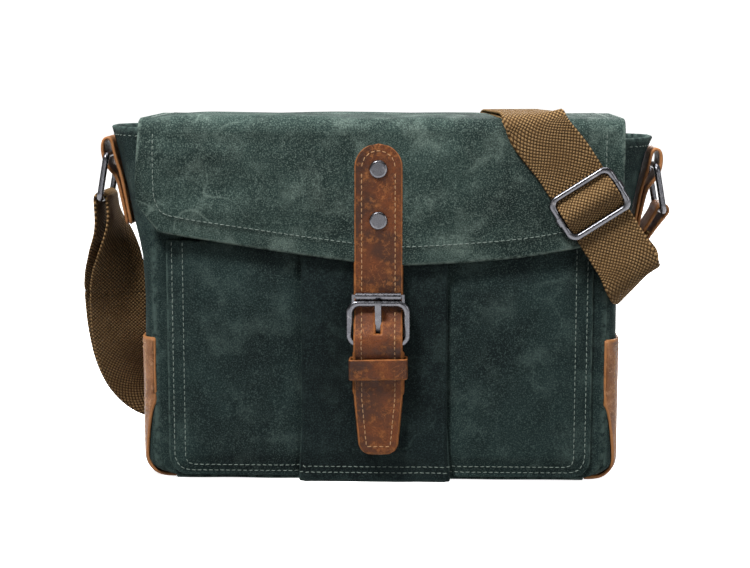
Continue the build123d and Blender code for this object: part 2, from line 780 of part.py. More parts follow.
def slider():
    place = slider_plane()
    frame = rod_frame(place, SLIDER_W, SLIDER_H, SLIDER_ROD, 7.0)
    save(frame, "slider_frame")
    rail_x = SLIDER_W / 2 - SLIDER_ROD / 2
    with BuildPart() as bar:
        with Locations(place):
            Cylinder(1.9, 2 * rail_x, rotation=(0, 90, 0))
            with Locations((-rail_x, 0, 0), (rail_x, 0, 0)):
                Cylinder(SLIDER_ROD / 2 + 1.1, 5.5, rotation=(90, 0, 0))
            with Locations((-rail_x, 0, 0), (rail_x, 0, 0)):
                Cylinder(SLIDER_ROD / 2 + 0.08, 9, rotation=(90, 0, 0), mode=Mode.SUBTRACT)
    save(bar.part, "slider_bar")


def strap_end():
    """Leather strap end folded through the right ring, holding the webbing between its layers."""
    tilt = math.radians(RING_TILT)
    cx = RING_X + RING_DROP * math.sin(tilt)
    cz = RING_Z_RIGHT - RING_DROP * math.cos(tilt)
    r = RING_ROD / 2 + 0.55 + LEATHER / 2
    gap = WEB_T / 2 + 0.4 + LEATHER / 2
    start = Vector(*END_START)
    inner = [start - END_OUT * gap + END_DOWN * d for d in (7.6, 0)]
    outer = [start + END_OUT * gap + END_DOWN * d for d in (0, 7.6)]
    turn = arc_stations(cx, cz, r, 190, -30, 8, (0, 1, 0))
    line = [(p.X, p.Z) for p in inner] + [(p[0], p[2]) for p, _ in turn] + [(p.X, p.Z) for p in outer]
    head = start + END_OUT * (gap + LEATHER / 2) + END_DOWN * 3.5
    with BuildPart() as end:
        add(folded_strip(line, LEATHER - 0.2, 31))
        with BuildSketch(Plane(origin=head, z_dir=END_OUT)):
            Circle(1.6)
        extrude(amount=-2.6, mode=Mode.SUBTRACT)
    save(end.part, "strap_end_tab")
    pin = rivet((head.X, head.Y, head.Z), (END_OUT.X, END_OUT.Y, END_OUT.Z), 4.0, 1.3, 1.5, 2.0)
    save(pin, "strap_end_rivet")


def bag():
    flat_panel("back_panel", -GUSSET_X + 2, GUSSET_X - 2, BACK_Y - CANVAS, BACK_Y, BASE_T, BACK_TOP_Z, 12)
    flat_panel("front_panel", -GUSSET_X + 2, GUSSET_X - 2, FRONT_Y, FRONT_Y + CANVAS, BASE_T, RIM_Z, 12)
    gusset("gusset_left", -1, EAR_TOP_LEFT)
    gusset("gusset_right", 1, EAR_TOP_RIGHT)
    bottom_panel()
    base_board()
    lining()
    pocket_shell()
    pocket_pleat()
    snap_socket()
    side_pocket("side_pocket_left", -1)
    side_pocket("side_pocket_right", 1)


def hardware():
    for name, side, ring_z in (("left", -1, RING_Z_LEFT), ("right", 1, RING_Z_RIGHT)):
        ring_tab(f"ring_tab_{name}", side, ring_z)
        drop = ring_z - RING_Z_LEFT
        pin = rivet((side * 179.3, 0, 191 + drop), (side, 0, 0), 4.0, 1.4, 1.6, 4.0)
        save(pin, f"tab_rivet_{name}")
        ring(f"ring_{name}", side, ring_z)


def flap():
    flap_back()
    flap_layer("flap_outer", FOLD_R, FLAP_OUTER, HEM_MID_Z)
    flap_layer("flap_lining", FOLD_R - FLAP_OUTER, FLAP_LINING, HEM_MID_Z + 1)
    closure_strap_upper()
    closure_rivets()


def closure():
    closure_strap_lower()
    chape()
    snap_stud()
    buckle_frame()
    buckle_roller()
    buckle_prong()
    keeper()


bag()
hardware()
flap()
closure()
webbing()
slider()
strap_end()
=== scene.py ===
import math

import bpy
import numpy as np
from mathutils import Matrix, Vector, noise
from mathutils.bvhtree import BVHTree


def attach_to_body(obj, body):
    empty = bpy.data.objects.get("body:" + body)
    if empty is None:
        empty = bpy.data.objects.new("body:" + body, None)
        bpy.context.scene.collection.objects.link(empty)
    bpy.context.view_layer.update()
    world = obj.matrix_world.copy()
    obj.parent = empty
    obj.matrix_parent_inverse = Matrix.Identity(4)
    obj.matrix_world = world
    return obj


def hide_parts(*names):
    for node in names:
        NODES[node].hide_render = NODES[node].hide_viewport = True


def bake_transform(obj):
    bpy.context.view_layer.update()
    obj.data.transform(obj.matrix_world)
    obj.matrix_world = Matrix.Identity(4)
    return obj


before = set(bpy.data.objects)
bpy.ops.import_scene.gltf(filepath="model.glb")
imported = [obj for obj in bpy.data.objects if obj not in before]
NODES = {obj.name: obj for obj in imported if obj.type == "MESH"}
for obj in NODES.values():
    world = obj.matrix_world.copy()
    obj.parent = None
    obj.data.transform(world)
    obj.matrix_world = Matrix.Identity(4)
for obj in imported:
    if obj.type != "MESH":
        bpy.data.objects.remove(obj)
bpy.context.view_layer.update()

# Messenger bag. Lengths below are millimetres in the row frame and become metres in mesh_object().
MM = 0.001

CANVAS_T = 2.0
LEATHER_T = 2.2
FRONT_Y = -41.5          # outer face of the front panel
BACK_Y = 48.0            # outer face of the back panel
PANEL_LOW = 2.5          # bottom edge of the front and back panels
FRONT_TOP = 235.0
BACK_TOP = 236.0
BACK_HALF_W = 158.0
HALF_W = 160.0
GUSSET_Y = (-40.8, 47.0)
GUSSET_LOW = 12.0        # the gusset's sides are upright above this and round below it
EAR_LEFT = 239.0
EAR_RIGHT = 232.0
LINING_TOP = 231.5
POCKET_HALF_W = 143.0
POCKET_Y = -48.0
POCKET_LOW = 3.0
POCKET_TOP = 164.0
POCKET_CORNER = 13.0
PLEAT_Y = -50.2
PLEAT_X = (-52.0, 46.0)
SIDE_POCKET_TOP = 97.0
RIGHT_TAB_DROP = -7.0    # the right ring's tab is sewn on this much lower than the left one
HINGE = (44.0, 238.0)    # y and z of the line the flap turns on
FOLD = (-46.0, 237.0)    # y and z of the centre of the flap's front fold
FLAP_HALF_W = 161.0
FLAP_MARGIN = 12.0       # from the flap's edge to its stitches
FLAP_BACK = 0.985        # width of the flap's back edge, as a share of the rest
STRAP_HALF_W = 15.4
STRAP_TOP = 230.0
STRAP_LOW = 22.0
STRAP_MARGIN = 4.3
WEB_HALF_W = 19.0
WEB_T = 1.9
SLIDER = (138.5, 191.5)  # x and z of the slider's centre
SLIDER_LEAN = math.radians(32.7)
AHEAD = -60.0            # stitch lines start this far before or behind the bag, and are carried to it
BEHIND = 60.0


# ---- camera ----
def camera():
    """Long lens, a little above the bag and two degrees to the right of straight on."""
    azimuth = math.radians(2)
    elevation = math.radians(8)
    back = Vector((math.sin(azimuth) * math.cos(elevation), -math.cos(azimuth) * math.cos(elevation),
                   math.sin(elevation)))
    right = Vector((math.cos(azimuth), math.sin(azimuth), 0))
    up = back.cross(right)
    data = bpy.data.cameras.new("camera")
    data.lens = 78.9
    data.sensor_width = 36
    data.clip_end = 50
    cam = bpy.data.objects.new("camera", data)
    bpy.context.scene.collection.objects.link(cam)
    place = Vector((0, 0, 118)) + back * 1150 - right * 4.2 + up * 11.2
    turn = Matrix((right, up, back)).transposed().to_4x4()
    cam.matrix_world = Matrix.Translation(place * MM) @ turn
    bpy.context.scene.camera = cam


camera()
bpy.context.scene.view_settings.view_transform = "Standard"


# ---- small helpers ----
def smoothstep(x, low, high):
    t = min(1.0, max(0.0, (x - low) / (high - low)))
    return t * t * (3 - 2 * t)


def lerp(a, b, t):
    return a + (b - a) * t


def rough(point, size, seed=0.0):
    """Smooth noise from -1 to 1 with features about that large, in mm. size may be one number or three."""
    sx, sy, sz = size if isinstance(size, tuple) else (size, size, size)
    return noise.noise(Vector((point[0] / sx + seed, point[1] / sy + seed * 1.7, point[2] / sz - seed)))


def lumps(point, size, seed):
    """The same noise from 0 to 1."""
    return 0.5 + 0.5 * rough(point, size, seed)


def smooth_line(points, count):
    """Catmull-Rom line through the points, as count points evenly spaced along it."""
    p = [Vector(q) for q in points]
    p = [p[0] * 2 - p[1]] + p + [p[-1] * 2 - p[-2]]
    fine = []
    for a, b, c, d in zip(p, p[1:], p[2:], p[3:]):
        for k in range(12):
            t = k / 12
            fine.append(0.5 * ((2 * b) + (c - a) * t + (2 * a - 5 * b + 4 * c - d) * t ** 2
                               + (3 * b - a - 3 * c + d) * t ** 3))
    fine.append(p[-2])
    return even(fine, count)


def even(points, count):
    """The same line as count points, evenly spaced."""
    table = np.array([tuple(q) for q in points], float)
    steps = np.linalg.norm(np.diff(table, axis=0), axis=1)
    along = np.concatenate([[0], np.cumsum(steps)])
    at = np.linspace(0, along[-1], count)
    return [Vector([np.interp(s, along, table[:, k]) for k in range(table.shape[1])]) for s in at]


def rounded_loop(half_x, front, back, radius, steps, count):
    """Closed outline in plan of a box with round corners, as count points."""
    outline = []
    corners = ((1, back - radius), (-1, back - radius), (-1, front + radius), (1, front + radius))
    for quarter, (side, centre_y) in enumerate(corners):
        for k in range(steps + 1):
            angle = math.radians(90 * (quarter + k / steps))
            x = side * (half_x - radius) + radius * math.cos(angle)
            outline.append(Vector((x, centre_y + radius * math.sin(angle), 0)))
    return even(outline + outline[:1], count)


def length_of(points):
    return sum((b - a).length for a, b in zip(points, points[1:]))


def nurbs(points):
    """Points of the smooth NURBS route that has these control points."""
    data = bpy.data.curves.new("route", "CURVE")
    data.dimensions = "3D"
    data.resolution_u = 8
    spline = data.splines.new("NURBS")
    spline.points.add(len(points) - 1)
    for control, point in zip(spline.points, points):
        control.co = (*point, 1)
    spline.order_u = 3
    spline.use_endpoint_u = True
    obj = bpy.data.objects.new("route", data)
    mesh = bpy.data.meshes.new_from_object(obj)
    line = [v.co.copy() for v in mesh.vertices]
    bpy.data.objects.remove(obj)
    bpy.data.meshes.remove(mesh)
    bpy.data.curves.remove(data)
    return line


def mesh_object(name, verts, faces, uvs=None, rim=None):
    mesh = bpy.data.meshes.new(name)
    mesh.from_pydata((np.array(verts, float) * MM).tolist(), [], faces)
    if uvs is not None:
        layer = mesh.uv_layers.new(name="cloth")
        corner = np.empty(len(mesh.loops), dtype=np.int32)
        mesh.loops.foreach_get("vertex_index", corner)
        layer.data.foreach_set("uv", np.array(uvs, np.float32)[corner].ravel())
    if rim is not None:
        mesh.attributes.new("rim", "FLOAT", "POINT").data.foreach_set("value", np.array(rim, np.float32))
    mesh.polygons.foreach_set("use_smooth", [True] * len(mesh.polygons))
    obj = bpy.data.objects.new(name, mesh)
    bpy.context.scene.collection.objects.link(obj)
    return obj


def grid_normals(grid, flip):
    across = np.gradient(grid, axis=1)
    along = np.gradient(grid, axis=0)
    normal = np.cross(across, along)
    normal /= np.maximum(np.linalg.norm(normal, axis=2, keepdims=True), 1e-9)
    return -normal if flip else normal


def cloth(name, rows, thick, material, slot, flip=False, centred=False, relief=None, skip=None,
          round_rim=0.4):
    """Closed shell of cloth or leather from rows of points on its outer face, or on its middle if centred.

    relief(point) pushes a point out along its normal, skip(point) leaves a hole, and flip turns the
    outer face over.
    """
    grid = np.array([[tuple(p) for p in row] for row in rows], float)
    normal = grid_normals(grid, flip)
    count_v, count_u = grid.shape[:2]
    steps_u = np.linalg.norm(np.diff(grid, axis=1), axis=2)
    steps_v = np.linalg.norm(np.diff(grid, axis=0), axis=2)
    uv_u = np.concatenate([np.zeros((count_v, 1)), np.cumsum(steps_u, axis=1)], axis=1)
    uv_u -= uv_u[:, -1:] / 2
    uv_v = np.concatenate([np.zeros((1, count_u)), np.cumsum(steps_v, axis=0)], axis=0)
    uv_v = np.repeat(uv_v[:, count_u // 2:count_u // 2 + 1], count_u, axis=1)
    if relief:
        push = np.array([[relief(p) for p in row] for row in grid])
        grid = grid + normal * push[..., None]
        normal = grid_normals(grid, flip)
    if centred:
        grid = grid + normal * thick / 2
    outer = grid.reshape(-1, 3)
    flat_normal = normal.reshape(-1, 3)
    inner = outer - flat_normal * thick
    uvs = np.stack([uv_u, uv_v], axis=2).reshape(-1, 2)
    total = len(outer)
    faces = []
    for i in range(count_v - 1):
        for j in range(count_u - 1):
            a = i * count_u + j
            quad = [a, a + 1, a + count_u + 1, a + count_u]
            if skip and skip(outer[quad].mean(axis=0)):
                continue
            faces.append(quad[::-1] if flip else quad)
    edges = {}
    for face in faces:
        for a, b in zip(face, face[1:] + face[:1]):
            edges[(a, b)] = face
    border = [(a, b) for a, b in edges if (b, a) not in edges]
    outward = {}
    for a, b in border:
        centre = outer[edges[(a, b)]].mean(axis=0)
        away = (outer[a] + outer[b]) / 2 - centre
        for v in (a, b):
            outward[v] = outward.get(v, 0) + away
    verts = list(outer) + list(inner)
    rim = np.zeros(2 * total + len(outward))
    middle = {}
    for v, away in outward.items():
        away = away - flat_normal[v] * away.dot(flat_normal[v])
        away = away / max(np.linalg.norm(away), 1e-9)
        middle[v] = len(verts)
        verts.append(outer[v] - flat_normal[v] * thick / 2 + away * thick * round_rim)
        rim[v] = rim[v + total] = rim[middle[v]] = 1
    backs = [[v + total for v in face[::-1]] for face in faces]
    sides = []
    for a, b in border:
        sides.append([b, a, middle[a], middle[b]])
        sides.append([middle[b], middle[a], a + total, b + total])
    used = sorted({v for face in faces + backs + sides for v in face})
    new = {v: k for k, v in enumerate(used)}
    all_uv = np.concatenate([uvs, uvs, uvs[list(outward)]])
    faces = [[new[v] for v in face] for face in faces + backs + sides]
    shell = mesh_object(name, np.array(verts)[used], faces, all_uv[used], rim[used])
    shell.data.materials.append(material)
    return shell


def strip(name, centres, across, offsets, thick, material, slot, **options):
    """Flat strap along centres; offsets are the columns' distances from its middle line."""
    rows = [[c + a * k for k in offsets] for c, a in zip(centres, across)]
    return cloth(name, rows, thick, material, slot, centred=True, **options)


def columns(half, count=13, edge=0.9):
    """Distances across a strap, with a close column inside each edge."""
    inner = np.linspace(-half + edge, half - edge, count)
    return [-half, -half + edge / 2, *inner, half - edge / 2, half]


def attach(piece, body, *nodes):
    """The piece moves with the body and is shown in place of the nodes."""
    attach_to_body(piece, body)
    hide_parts(*nodes)


def surface(*objs):
    """Ray-cast tree over meshes, in mm."""
    verts, faces = [], []
    for obj in objs:
        base = len(verts)
        verts += [v.co / MM for v in obj.data.vertices]
        faces += [[base + v for v in p.vertices] for p in obj.data.polygons]
    return BVHTree.FromPolygons(verts, faces)


# Along one stitch: place from end to end, height over the cloth and thickness, both in thread radii.
STITCH = [(-0.5, -0.35, 0.55), (-0.32, 0.12, 1.0), (0.0, 0.3, 1.12), (0.32, 0.12, 1.0), (0.5, -0.35, 0.55)]
STITCH_SIDES = 6


def thread(name, lines, toward, on, slot, body=None, pitch=3.9, long=2.7, radius=0.27, reach=40):
    """Sewn stitches: short rounded lengths of thread, laid on the surface of the pieces named.

    The lines are carried in the direction of toward until they meet the cloth.
    """
    tree = surface(*on)
    toward = Vector(toward).normalized()
    verts, faces = [], []
    for line in lines:
        line = [Vector(p) for p in line]
        count = max(2, round(length_of(line) / pitch))
        spots = even(line, count + 1)
        for k in range(count):
            middle = (spots[k] + spots[k + 1]) / 2
            hit, normal, _, _ = tree.ray_cast(middle - toward * reach / 2, toward, reach)
            if hit is None:
                continue
            if normal.dot(toward) > 0:
                normal = -normal
            along = spots[k + 1] - spots[k]
            along = (along - normal * along.dot(normal)).normalized()
            side = normal.cross(along)
            slant = side * rough(middle, 3.0, 9.0) * 0.25
            base = len(verts)
            for t, lift, scale in STITCH:
                centre = hit + (along + slant) * (t * long) + normal * (lift * radius)
                for n in range(STITCH_SIDES):
                    angle = math.tau * n / STITCH_SIDES
                    ring = side * math.cos(angle) + normal * math.sin(angle)
                    verts.append(centre + ring * radius * scale)
            last = len(verts) - STITCH_SIDES
            for a in range(base, last):
                b = a + 1 if (a + 1 - base) % STITCH_SIDES else a + 1 - STITCH_SIDES
                faces.append([a, b, b + STITCH_SIDES, a + STITCH_SIDES])
            faces.append([base + n for n in reversed(range(STITCH_SIDES))])
            faces.append([last + n for n in range(STITCH_SIDES)])
    obj = mesh_object(name, [tuple(v) for v in verts], faces)
    obj.data.materials.append(THREADS[slot])
    if body:
        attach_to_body(obj, body)
    return obj


# ---- materials ----
def srgb(r, g, b):
    """Linear colour from 0-255 sRGB."""
    return [((c / 255 + 0.055) / 1.055) ** 2.4 if c > 10 else c / 255 / 12.92 for c in (r, g, b)] + [1]


WAVE_SCALE = math.tau / 20   # a wave texture of this scale has one band per unit of its coordinates


class Shader:
    """A principled material with short names for the nodes that the pieces need."""

    def __init__(self, name, roughness=0.8, metallic=0.0, specular=0.5, sheen=0.0):
        self.material = bpy.data.materials.new(name)
        self.material.use_nodes = True
        self.tree = self.material.node_tree
        self.shader = self.tree.nodes["Principled BSDF"]
        for key, value in (("Roughness", roughness), ("Metallic", metallic), ("Sheen Weight", sheen),
                           ("Specular IOR Level", specular)):
            self.shader.inputs[key].default_value = value
        coords = self.node("ShaderNodeTexCoord")
        self.place = coords.outputs["Object"]
        self.uv = coords.outputs["UV"]

    def node(self, kind, numbers=None, **settings):
        made = self.tree.nodes.new(kind)
        for key, value in settings.items():
            setattr(made, key, value)
        for key, value in (numbers or {}).items():
            made.inputs[key].default_value = value
        return made

    def link(self, out, socket):
        self.tree.links.new(out, socket)

    def noise(self, scale, detail=4.0, rough=0.55, distortion=0.0):
        made = self.node("ShaderNodeTexNoise", {"Scale": scale, "Detail": detail, "Roughness": rough,
                                                "Distortion": distortion})
        self.link(self.place, made.inputs["Vector"])
        return made.outputs["Fac"]

    def remap(self, value, low, high, to_low=0.0, to_high=1.0):
        made = self.node("ShaderNodeMapRange", {"From Min": low, "From Max": high, "To Min": to_low,
                                                "To Max": to_high}, interpolation_type="SMOOTHSTEP")
        self.link(value, made.inputs["Value"])
        return made.outputs["Result"]

    def math(self, operation, a, b=0.0):
        made = self.node("ShaderNodeMath", operation=operation)
        for socket, value in zip(made.inputs, (a, b)):
            if isinstance(value, (int, float)):
                socket.default_value = value
            else:
                self.link(value, socket)
        return made.outputs[0]

    def times(self, a, b):
        return self.math("MULTIPLY", a, b)

    def mix(self, factor, a, b):
        made = self.node("ShaderNodeMix", data_type="RGBA")
        self.link(factor, made.inputs["Factor"])
        for socket, value in ((made.inputs[6], a), (made.inputs[7], b)):
            if isinstance(value, list):
                socket.default_value = value
            else:
                self.link(value, socket)
        return made.outputs[2]

    def wave(self, axis, period_mm, distortion=0.0):
        """Bands across one direction of the cloth, whose UVs are in mm."""
        made = self.node("ShaderNodeTexWave", {"Scale": WAVE_SCALE / period_mm, "Distortion": distortion,
                                               "Detail": 1.0, "Detail Scale": 0.4},
                         wave_type="BANDS", bands_direction=axis, wave_profile="SIN")
        self.link(self.uv, made.inputs["Vector"])
        return made.outputs["Fac"]

    def rim(self):
        """1 along a piece's cut edges and 0 elsewhere."""
        return self.node("ShaderNodeAttribute", attribute_name="rim").outputs["Fac"]

    def colour(self, out):
        self.link(out, self.shader.inputs["Base Color"])

    def roughness(self, out):
        self.link(out, self.shader.inputs["Roughness"])

    def bump(self, *layers):
        """Stacked bumps, each (height, millimetres)."""
        normal = None
        for height, size in layers:
            made = self.node("ShaderNodeBump", {"Distance": size * MM, "Strength": 1.0})
            self.link(height, made.inputs["Height"])
            if normal:
                self.link(normal, made.inputs["Normal"])
            normal = made.outputs["Normal"]
        self.link(normal, self.shader.inputs["Normal"])


def waxed_canvas(name, base, light, dark, wear=1.0):
    """Waxed cotton: cloudy colour, pale crease lines, a rubbed rim and a fine plain weave."""
    s = Shader(name, roughness=0.8, specular=0.08)
    clouds = s.noise(15, 6, 0.62)
    patches = s.noise(48, 6, 0.66, distortion=0.3)
    colour = s.mix(s.remap(clouds, 0.32, 0.66), dark, base)
    colour = s.mix(s.times(s.remap(patches, 0.46, 0.76), 0.42 * wear), colour, light)
    lines = s.math("ABSOLUTE", s.math("SUBTRACT", s.noise(9, 2, 0.4, distortion=0.5), 0.5))
    creases = s.times(s.remap(lines, 0.0, 0.005, 1.0, 0.0), s.remap(s.noise(14, 2), 0.52, 0.66))
    colour = s.mix(s.times(creases, 0.4 * wear), colour, light)
    weave = s.times(s.wave("X", 0.85, 1.2), s.wave("Y", 0.85, 1.2))
    speckle = s.noise(1150, 3, 0.7)
    colour = s.mix(s.times(s.remap(speckle, 0.5, 0.66), 0.54), colour, light)
    colour = s.mix(s.times(s.remap(speckle, 0.5, 0.32), 0.7), colour, dark)
    rub = s.times(s.rim(), s.remap(s.noise(220, 3), 0.35, 0.6))
    colour = s.mix(s.times(rub, 0.7), colour, light)
    s.colour(colour)
    s.roughness(s.remap(patches, 0.3, 0.8, 0.86, 0.7))
    s.bump((patches, 0.5), (s.noise(300, 4, 0.6), 0.2), (weave, 0.12))
    return s.material


def oiled_leather(name, base, light, dark, edge):
    """Oiled pull-up leather: blotches, grain, scratches and paler cut edges."""
    s = Shader(name, roughness=0.5, specular=0.2)
    blotch = s.noise(38, 6, 0.62, distortion=0.6)
    colour = s.mix(s.remap(blotch, 0.34, 0.64), dark, base)
    fine = s.noise(170, 6, 0.72)
    colour = s.mix(s.times(s.remap(fine, 0.5, 0.7), 0.6), colour, light)
    pores = s.noise(900, 3, 0.7)
    colour = s.mix(s.times(s.remap(pores, 0.5, 0.32), 0.6), colour, dark)
    scratch = s.math("ABSOLUTE", s.math("SUBTRACT", s.noise(75, 2, 0.5, distortion=2.2), 0.5))
    marks = s.times(s.remap(scratch, 0.0, 0.02, 1.0, 0.0), s.remap(s.noise(60, 2), 0.5, 0.62))
    colour = s.mix(s.times(marks, 0.5), colour, light)
    worn_edge = s.times(s.rim(), s.remap(s.noise(260, 4), 0.3, 0.6, 0.3, 0.85))
    colour = s.mix(worn_edge, colour, edge)
    s.colour(colour)
    grain = s.node("ShaderNodeTexVoronoi", {"Scale": 620}, feature="DISTANCE_TO_EDGE")
    s.link(s.place, grain.inputs["Vector"])
    s.roughness(s.remap(fine, 0.3, 0.7, 0.42, 0.62))
    s.bump((blotch, 0.3), (s.remap(grain.outputs["Distance"], 0.0, 0.12), 0.09), (fine, 0.16))
    return s.material


def webbing_material():
    """Heavy cotton webbing: pale floats in offset rows, like bricks, over dark gaps."""
    s = Shader("webbing", roughness=0.86, specular=0.12)
    ends = s.wave("X", 2.7, 0.35)
    rows = s.wave("Y", 2.8, 0.35)
    floats = s.math("ABSOLUTE", s.math("SUBTRACT", s.math("ADD", ends, rows), 1.0))
    weave = s.math("POWER", floats, 0.7)
    strands = s.wave("X", 0.55, 1.0)
    mottle = s.noise(60, 5, 0.6)
    colour = s.mix(s.remap(weave, 0.1, 0.72), srgb(44, 29, 14), srgb(140, 110, 72))
    colour = s.mix(s.times(s.remap(weave, 0.6, 1.0), 0.6), colour, srgb(182, 150, 106))
    colour = s.mix(s.times(strands, 0.22), colour, srgb(96, 68, 36))
    colour = s.mix(s.times(s.remap(mottle, 0.4, 0.65), 0.35), colour, srgb(92, 66, 36))
    s.colour(colour)
    s.bump((weave, 0.8), (strands, 0.12), (s.noise(1500, 3), 0.12))
    return s.material


def lining_material():
    s = Shader("lining_cloth", roughness=0.9, specular=0.15)
    weave = s.times(s.wave("X", 0.7, 0.6), s.wave("Y", 0.7, 0.6))
    colour = s.mix(s.remap(s.noise(30, 5), 0.35, 0.7), srgb(122, 106, 76), srgb(150, 134, 100))
    s.colour(s.mix(s.times(weave, 0.3), colour, srgb(92, 80, 56)))
    s.bump((s.noise(120, 4), 0.25), (weave, 0.08))
    return s.material


def gunmetal():
    s = Shader("gunmetal", roughness=0.27, metallic=1.0)
    worn = s.remap(s.noise(160, 5, 0.65), 0.55, 0.75)
    s.colour(s.mix(worn, srgb(84, 84, 88), srgb(122, 120, 122)))
    s.roughness(s.remap(s.noise(420, 4), 0.3, 0.7, 0.2, 0.38))
    s.bump((s.noise(500, 2), 0.004))
    return s.material


def board_material():
    s = Shader("board", roughness=0.85)
    s.colour(s.mix(s.noise(300, 4), srgb(50, 50, 50), srgb(72, 70, 66)))
    s.bump((s.noise(800, 3), 0.06))
    return s.material


def thread_material(name, base, light):
    s = Shader(name, roughness=0.7, sheen=0.2)
    s.colour(s.mix(s.noise(900, 3), base, light))
    s.bump((s.noise(3500, 2), 0.05))
    return s.material


# Each canvas and leather has a usual, a palest and a darkest colour, and each leather one for cut edges.
CANVAS = waxed_canvas("waxed_canvas", srgb(30, 44, 43), srgb(76, 93, 88), srgb(11, 20, 21))
# A darker copy of the canvas for the pleat: painted shade, for the shadow that falls under the flap's hem.
SHADED_PLEAT_CANVAS = waxed_canvas("pleat_canvas_painted_shade", srgb(17, 27, 28), srgb(52, 67, 64), srgb(5, 11, 12))
# A lighter copy of the canvas for the flap: painted light, for the flap lit more than the body below it; its
# wear is a little stronger too.
LIT_FLAP_CANVAS = waxed_canvas("flap_canvas_painted_light", srgb(47, 63, 59), srgb(116, 133, 124), srgb(17, 28, 27), 1.15)
LEATHER = oiled_leather("oiled_leather", srgb(97, 50, 21), srgb(158, 100, 54), srgb(46, 22, 9),
                        srgb(158, 98, 50))
TAN = oiled_leather("tan_leather", srgb(146, 100, 66), srgb(192, 152, 118), srgb(94, 58, 34),
                    srgb(164, 110, 64))
WEBBING = webbing_material()
LINING = lining_material()
METAL = gunmetal()
BOARD = board_material()
THREADS = {
    "canvas": thread_material("canvas_thread", srgb(84, 99, 93), srgb(124, 138, 128)),
    "leather": thread_material("leather_thread", srgb(150, 108, 66), srgb(186, 146, 98)),
}


# ---- body panels ----
def corner_half_width(z, half, low, radius):
    """Half width of an upright panel with rounded bottom corners."""
    if z >= low + radius:
        return half
    drop = low + radius - z
    return half - radius + math.sqrt(max(0.0, radius ** 2 - drop ** 2))


def upright(half, low, high, radius, y, shares, count):
    """Rows up a panel with rounded bottom corners, closer together through the corners.

    shares are the columns' places across it, from -1 to 1.
    """
    corner = low + radius
    rows = []
    for z in (*(low + radius * (k / 8) ** 2 for k in range(8)), *np.linspace(corner, high, count)):
        w = corner_half_width(z, half, low, radius)
        rows.append([(x * w, y, z) for x in shares])
    return rows


def front_relief(p):
    x, _, z = p
    belly = 0.36 * (1 - (x / HALF_W) ** 2) * smoothstep(z, 5, 60) * (1 - smoothstep(z, 150, 225))
    mouth = 4.2 * smoothstep(z, 167, 192) * smoothstep(150 - abs(x), 0, 60)
    return belly + mouth * (0.85 + 0.15 * rough(p, 70, 9)) + 0.4 * rough(p, 60, 3)


def back_relief(p):
    x, _, z = p
    belly = 2.2 * max(0.0, 1 - (x / BACK_HALF_W) ** 2) * smoothstep(z, 8, 90) * (1 - smoothstep(z, 140, 205))
    folds = 0.7 * rough(p, (70, 50, 34), 5) * (1 - smoothstep(z, 180, 205))
    return belly + folds * smoothstep(BACK_HALF_W - abs(x), 0, 20)


def corner_inset(y):
    """How far the body's side stands in near its front and back edges, which are rounded in plan."""
    ahead = min(1.0, max(0.0, (-24.0 - y) / 17.0))
    behind = min(1.0, max(0.0, (y - 40.0) / 8.0))
    return 9.0 * (1 - math.sqrt(1 - ahead ** 2)) + 3.0 * (1 - math.sqrt(1 - behind ** 2))


def body_panels():
    """Front and back panels and the base."""
    shares = np.linspace(-1, 1, 81)
    rows = upright(152.5, PANEL_LOW, FRONT_TOP, 15, FRONT_Y, shares, 60)
    front = cloth("front_panel_cloth", rows, CANVAS_T, CANVAS, "canvas", relief=front_relief)
    rows = upright(BACK_HALF_W, PANEL_LOW, BACK_TOP, 12, BACK_Y, shares, 70)
    back = cloth("back_panel_cloth", rows, CANVAS_T, CANVAS, "canvas", flip=True, relief=back_relief)
    for panel, node, flat in ((front, "front_panel", (0.316, 0.230)), (back, "back_panel", (0.316, 0.234))):
        attach(panel, "bag", node)
    rows = [[(x, y, 0.05) for x in np.linspace(-138.5, 138.5, 60)]
            for y in np.linspace(BACK_Y - 0.5, FRONT_Y + 0.5, 24)]
    base = cloth("bottom_cloth", rows, 2.2, CANVAS, "canvas",
                 relief=lambda p: -0.5 - 0.45 * rough(p, 40, 8))
    attach(base, "bag", "bottom_panel")
    rows = [[(x, BEHIND, z) for z in (20, 228)] for x in (-152, 152)]
    rows.append([(x, BEHIND, 12) for x in (-142, 142)])
    thread("back_stitches", rows, (0, -1, 0), [back], "canvas", "bag")


def ridge(z, ear_top):
    """How far out the gusset's ridge stands at each height."""
    heights = [14, 60, 110, 135, 152, 171, 190, 205, 222, ear_top]
    out = [160.4, 160.6, 161.0, 161.8, 164.0, 169.2, 173.4, 176.6, 180.6, 185.0]
    return float(np.interp(z, heights, out))


def gusset(name, side, ear_top):
    """Side panel: rounded in plan, turned in at its foot and flaring to an ear above the flap's side."""
    front, back = GUSSET_Y
    rows = []
    for z in (4.4, 6, 8.5, *np.linspace(GUSSET_LOW, ear_top, 64)):
        flare = ridge(z, ear_top) - HALF_W - 9 * max(0.0, (GUSSET_LOW - z) / 8) ** 2
        row = []
        for t in np.linspace(0, 1, 33):
            y = lerp(front, back, t ** 1.15)
            bow = 1.0
            if z > GUSSET_LOW:
                bow = min(1.0, max(0.0, 1.08 * math.sin(math.pi * (y - front) / (back - front))) ** 0.8)
            row.append((side * (HALF_W + 0.6 + flare * bow - corner_inset(y)), y, z))
        rows.append(row)

    def folds(p):
        return -0.9 * lumps(p, (30, 26, 20), side * 4) * smoothstep(p[2], 100, 130)

    panel = cloth(name + "_cloth", rows, CANVAS_T, CANVAS, "canvas", flip=side < 0, relief=folds)
    attach(panel, "bag", name)
    hem = [(side * (HALF_W + 12), y, ear_top - 5) for y in (-38, 44)]
    thread(name + "_stitches", [hem], (-side, 0, 0), [panel], "canvas", "bag", reach=60)


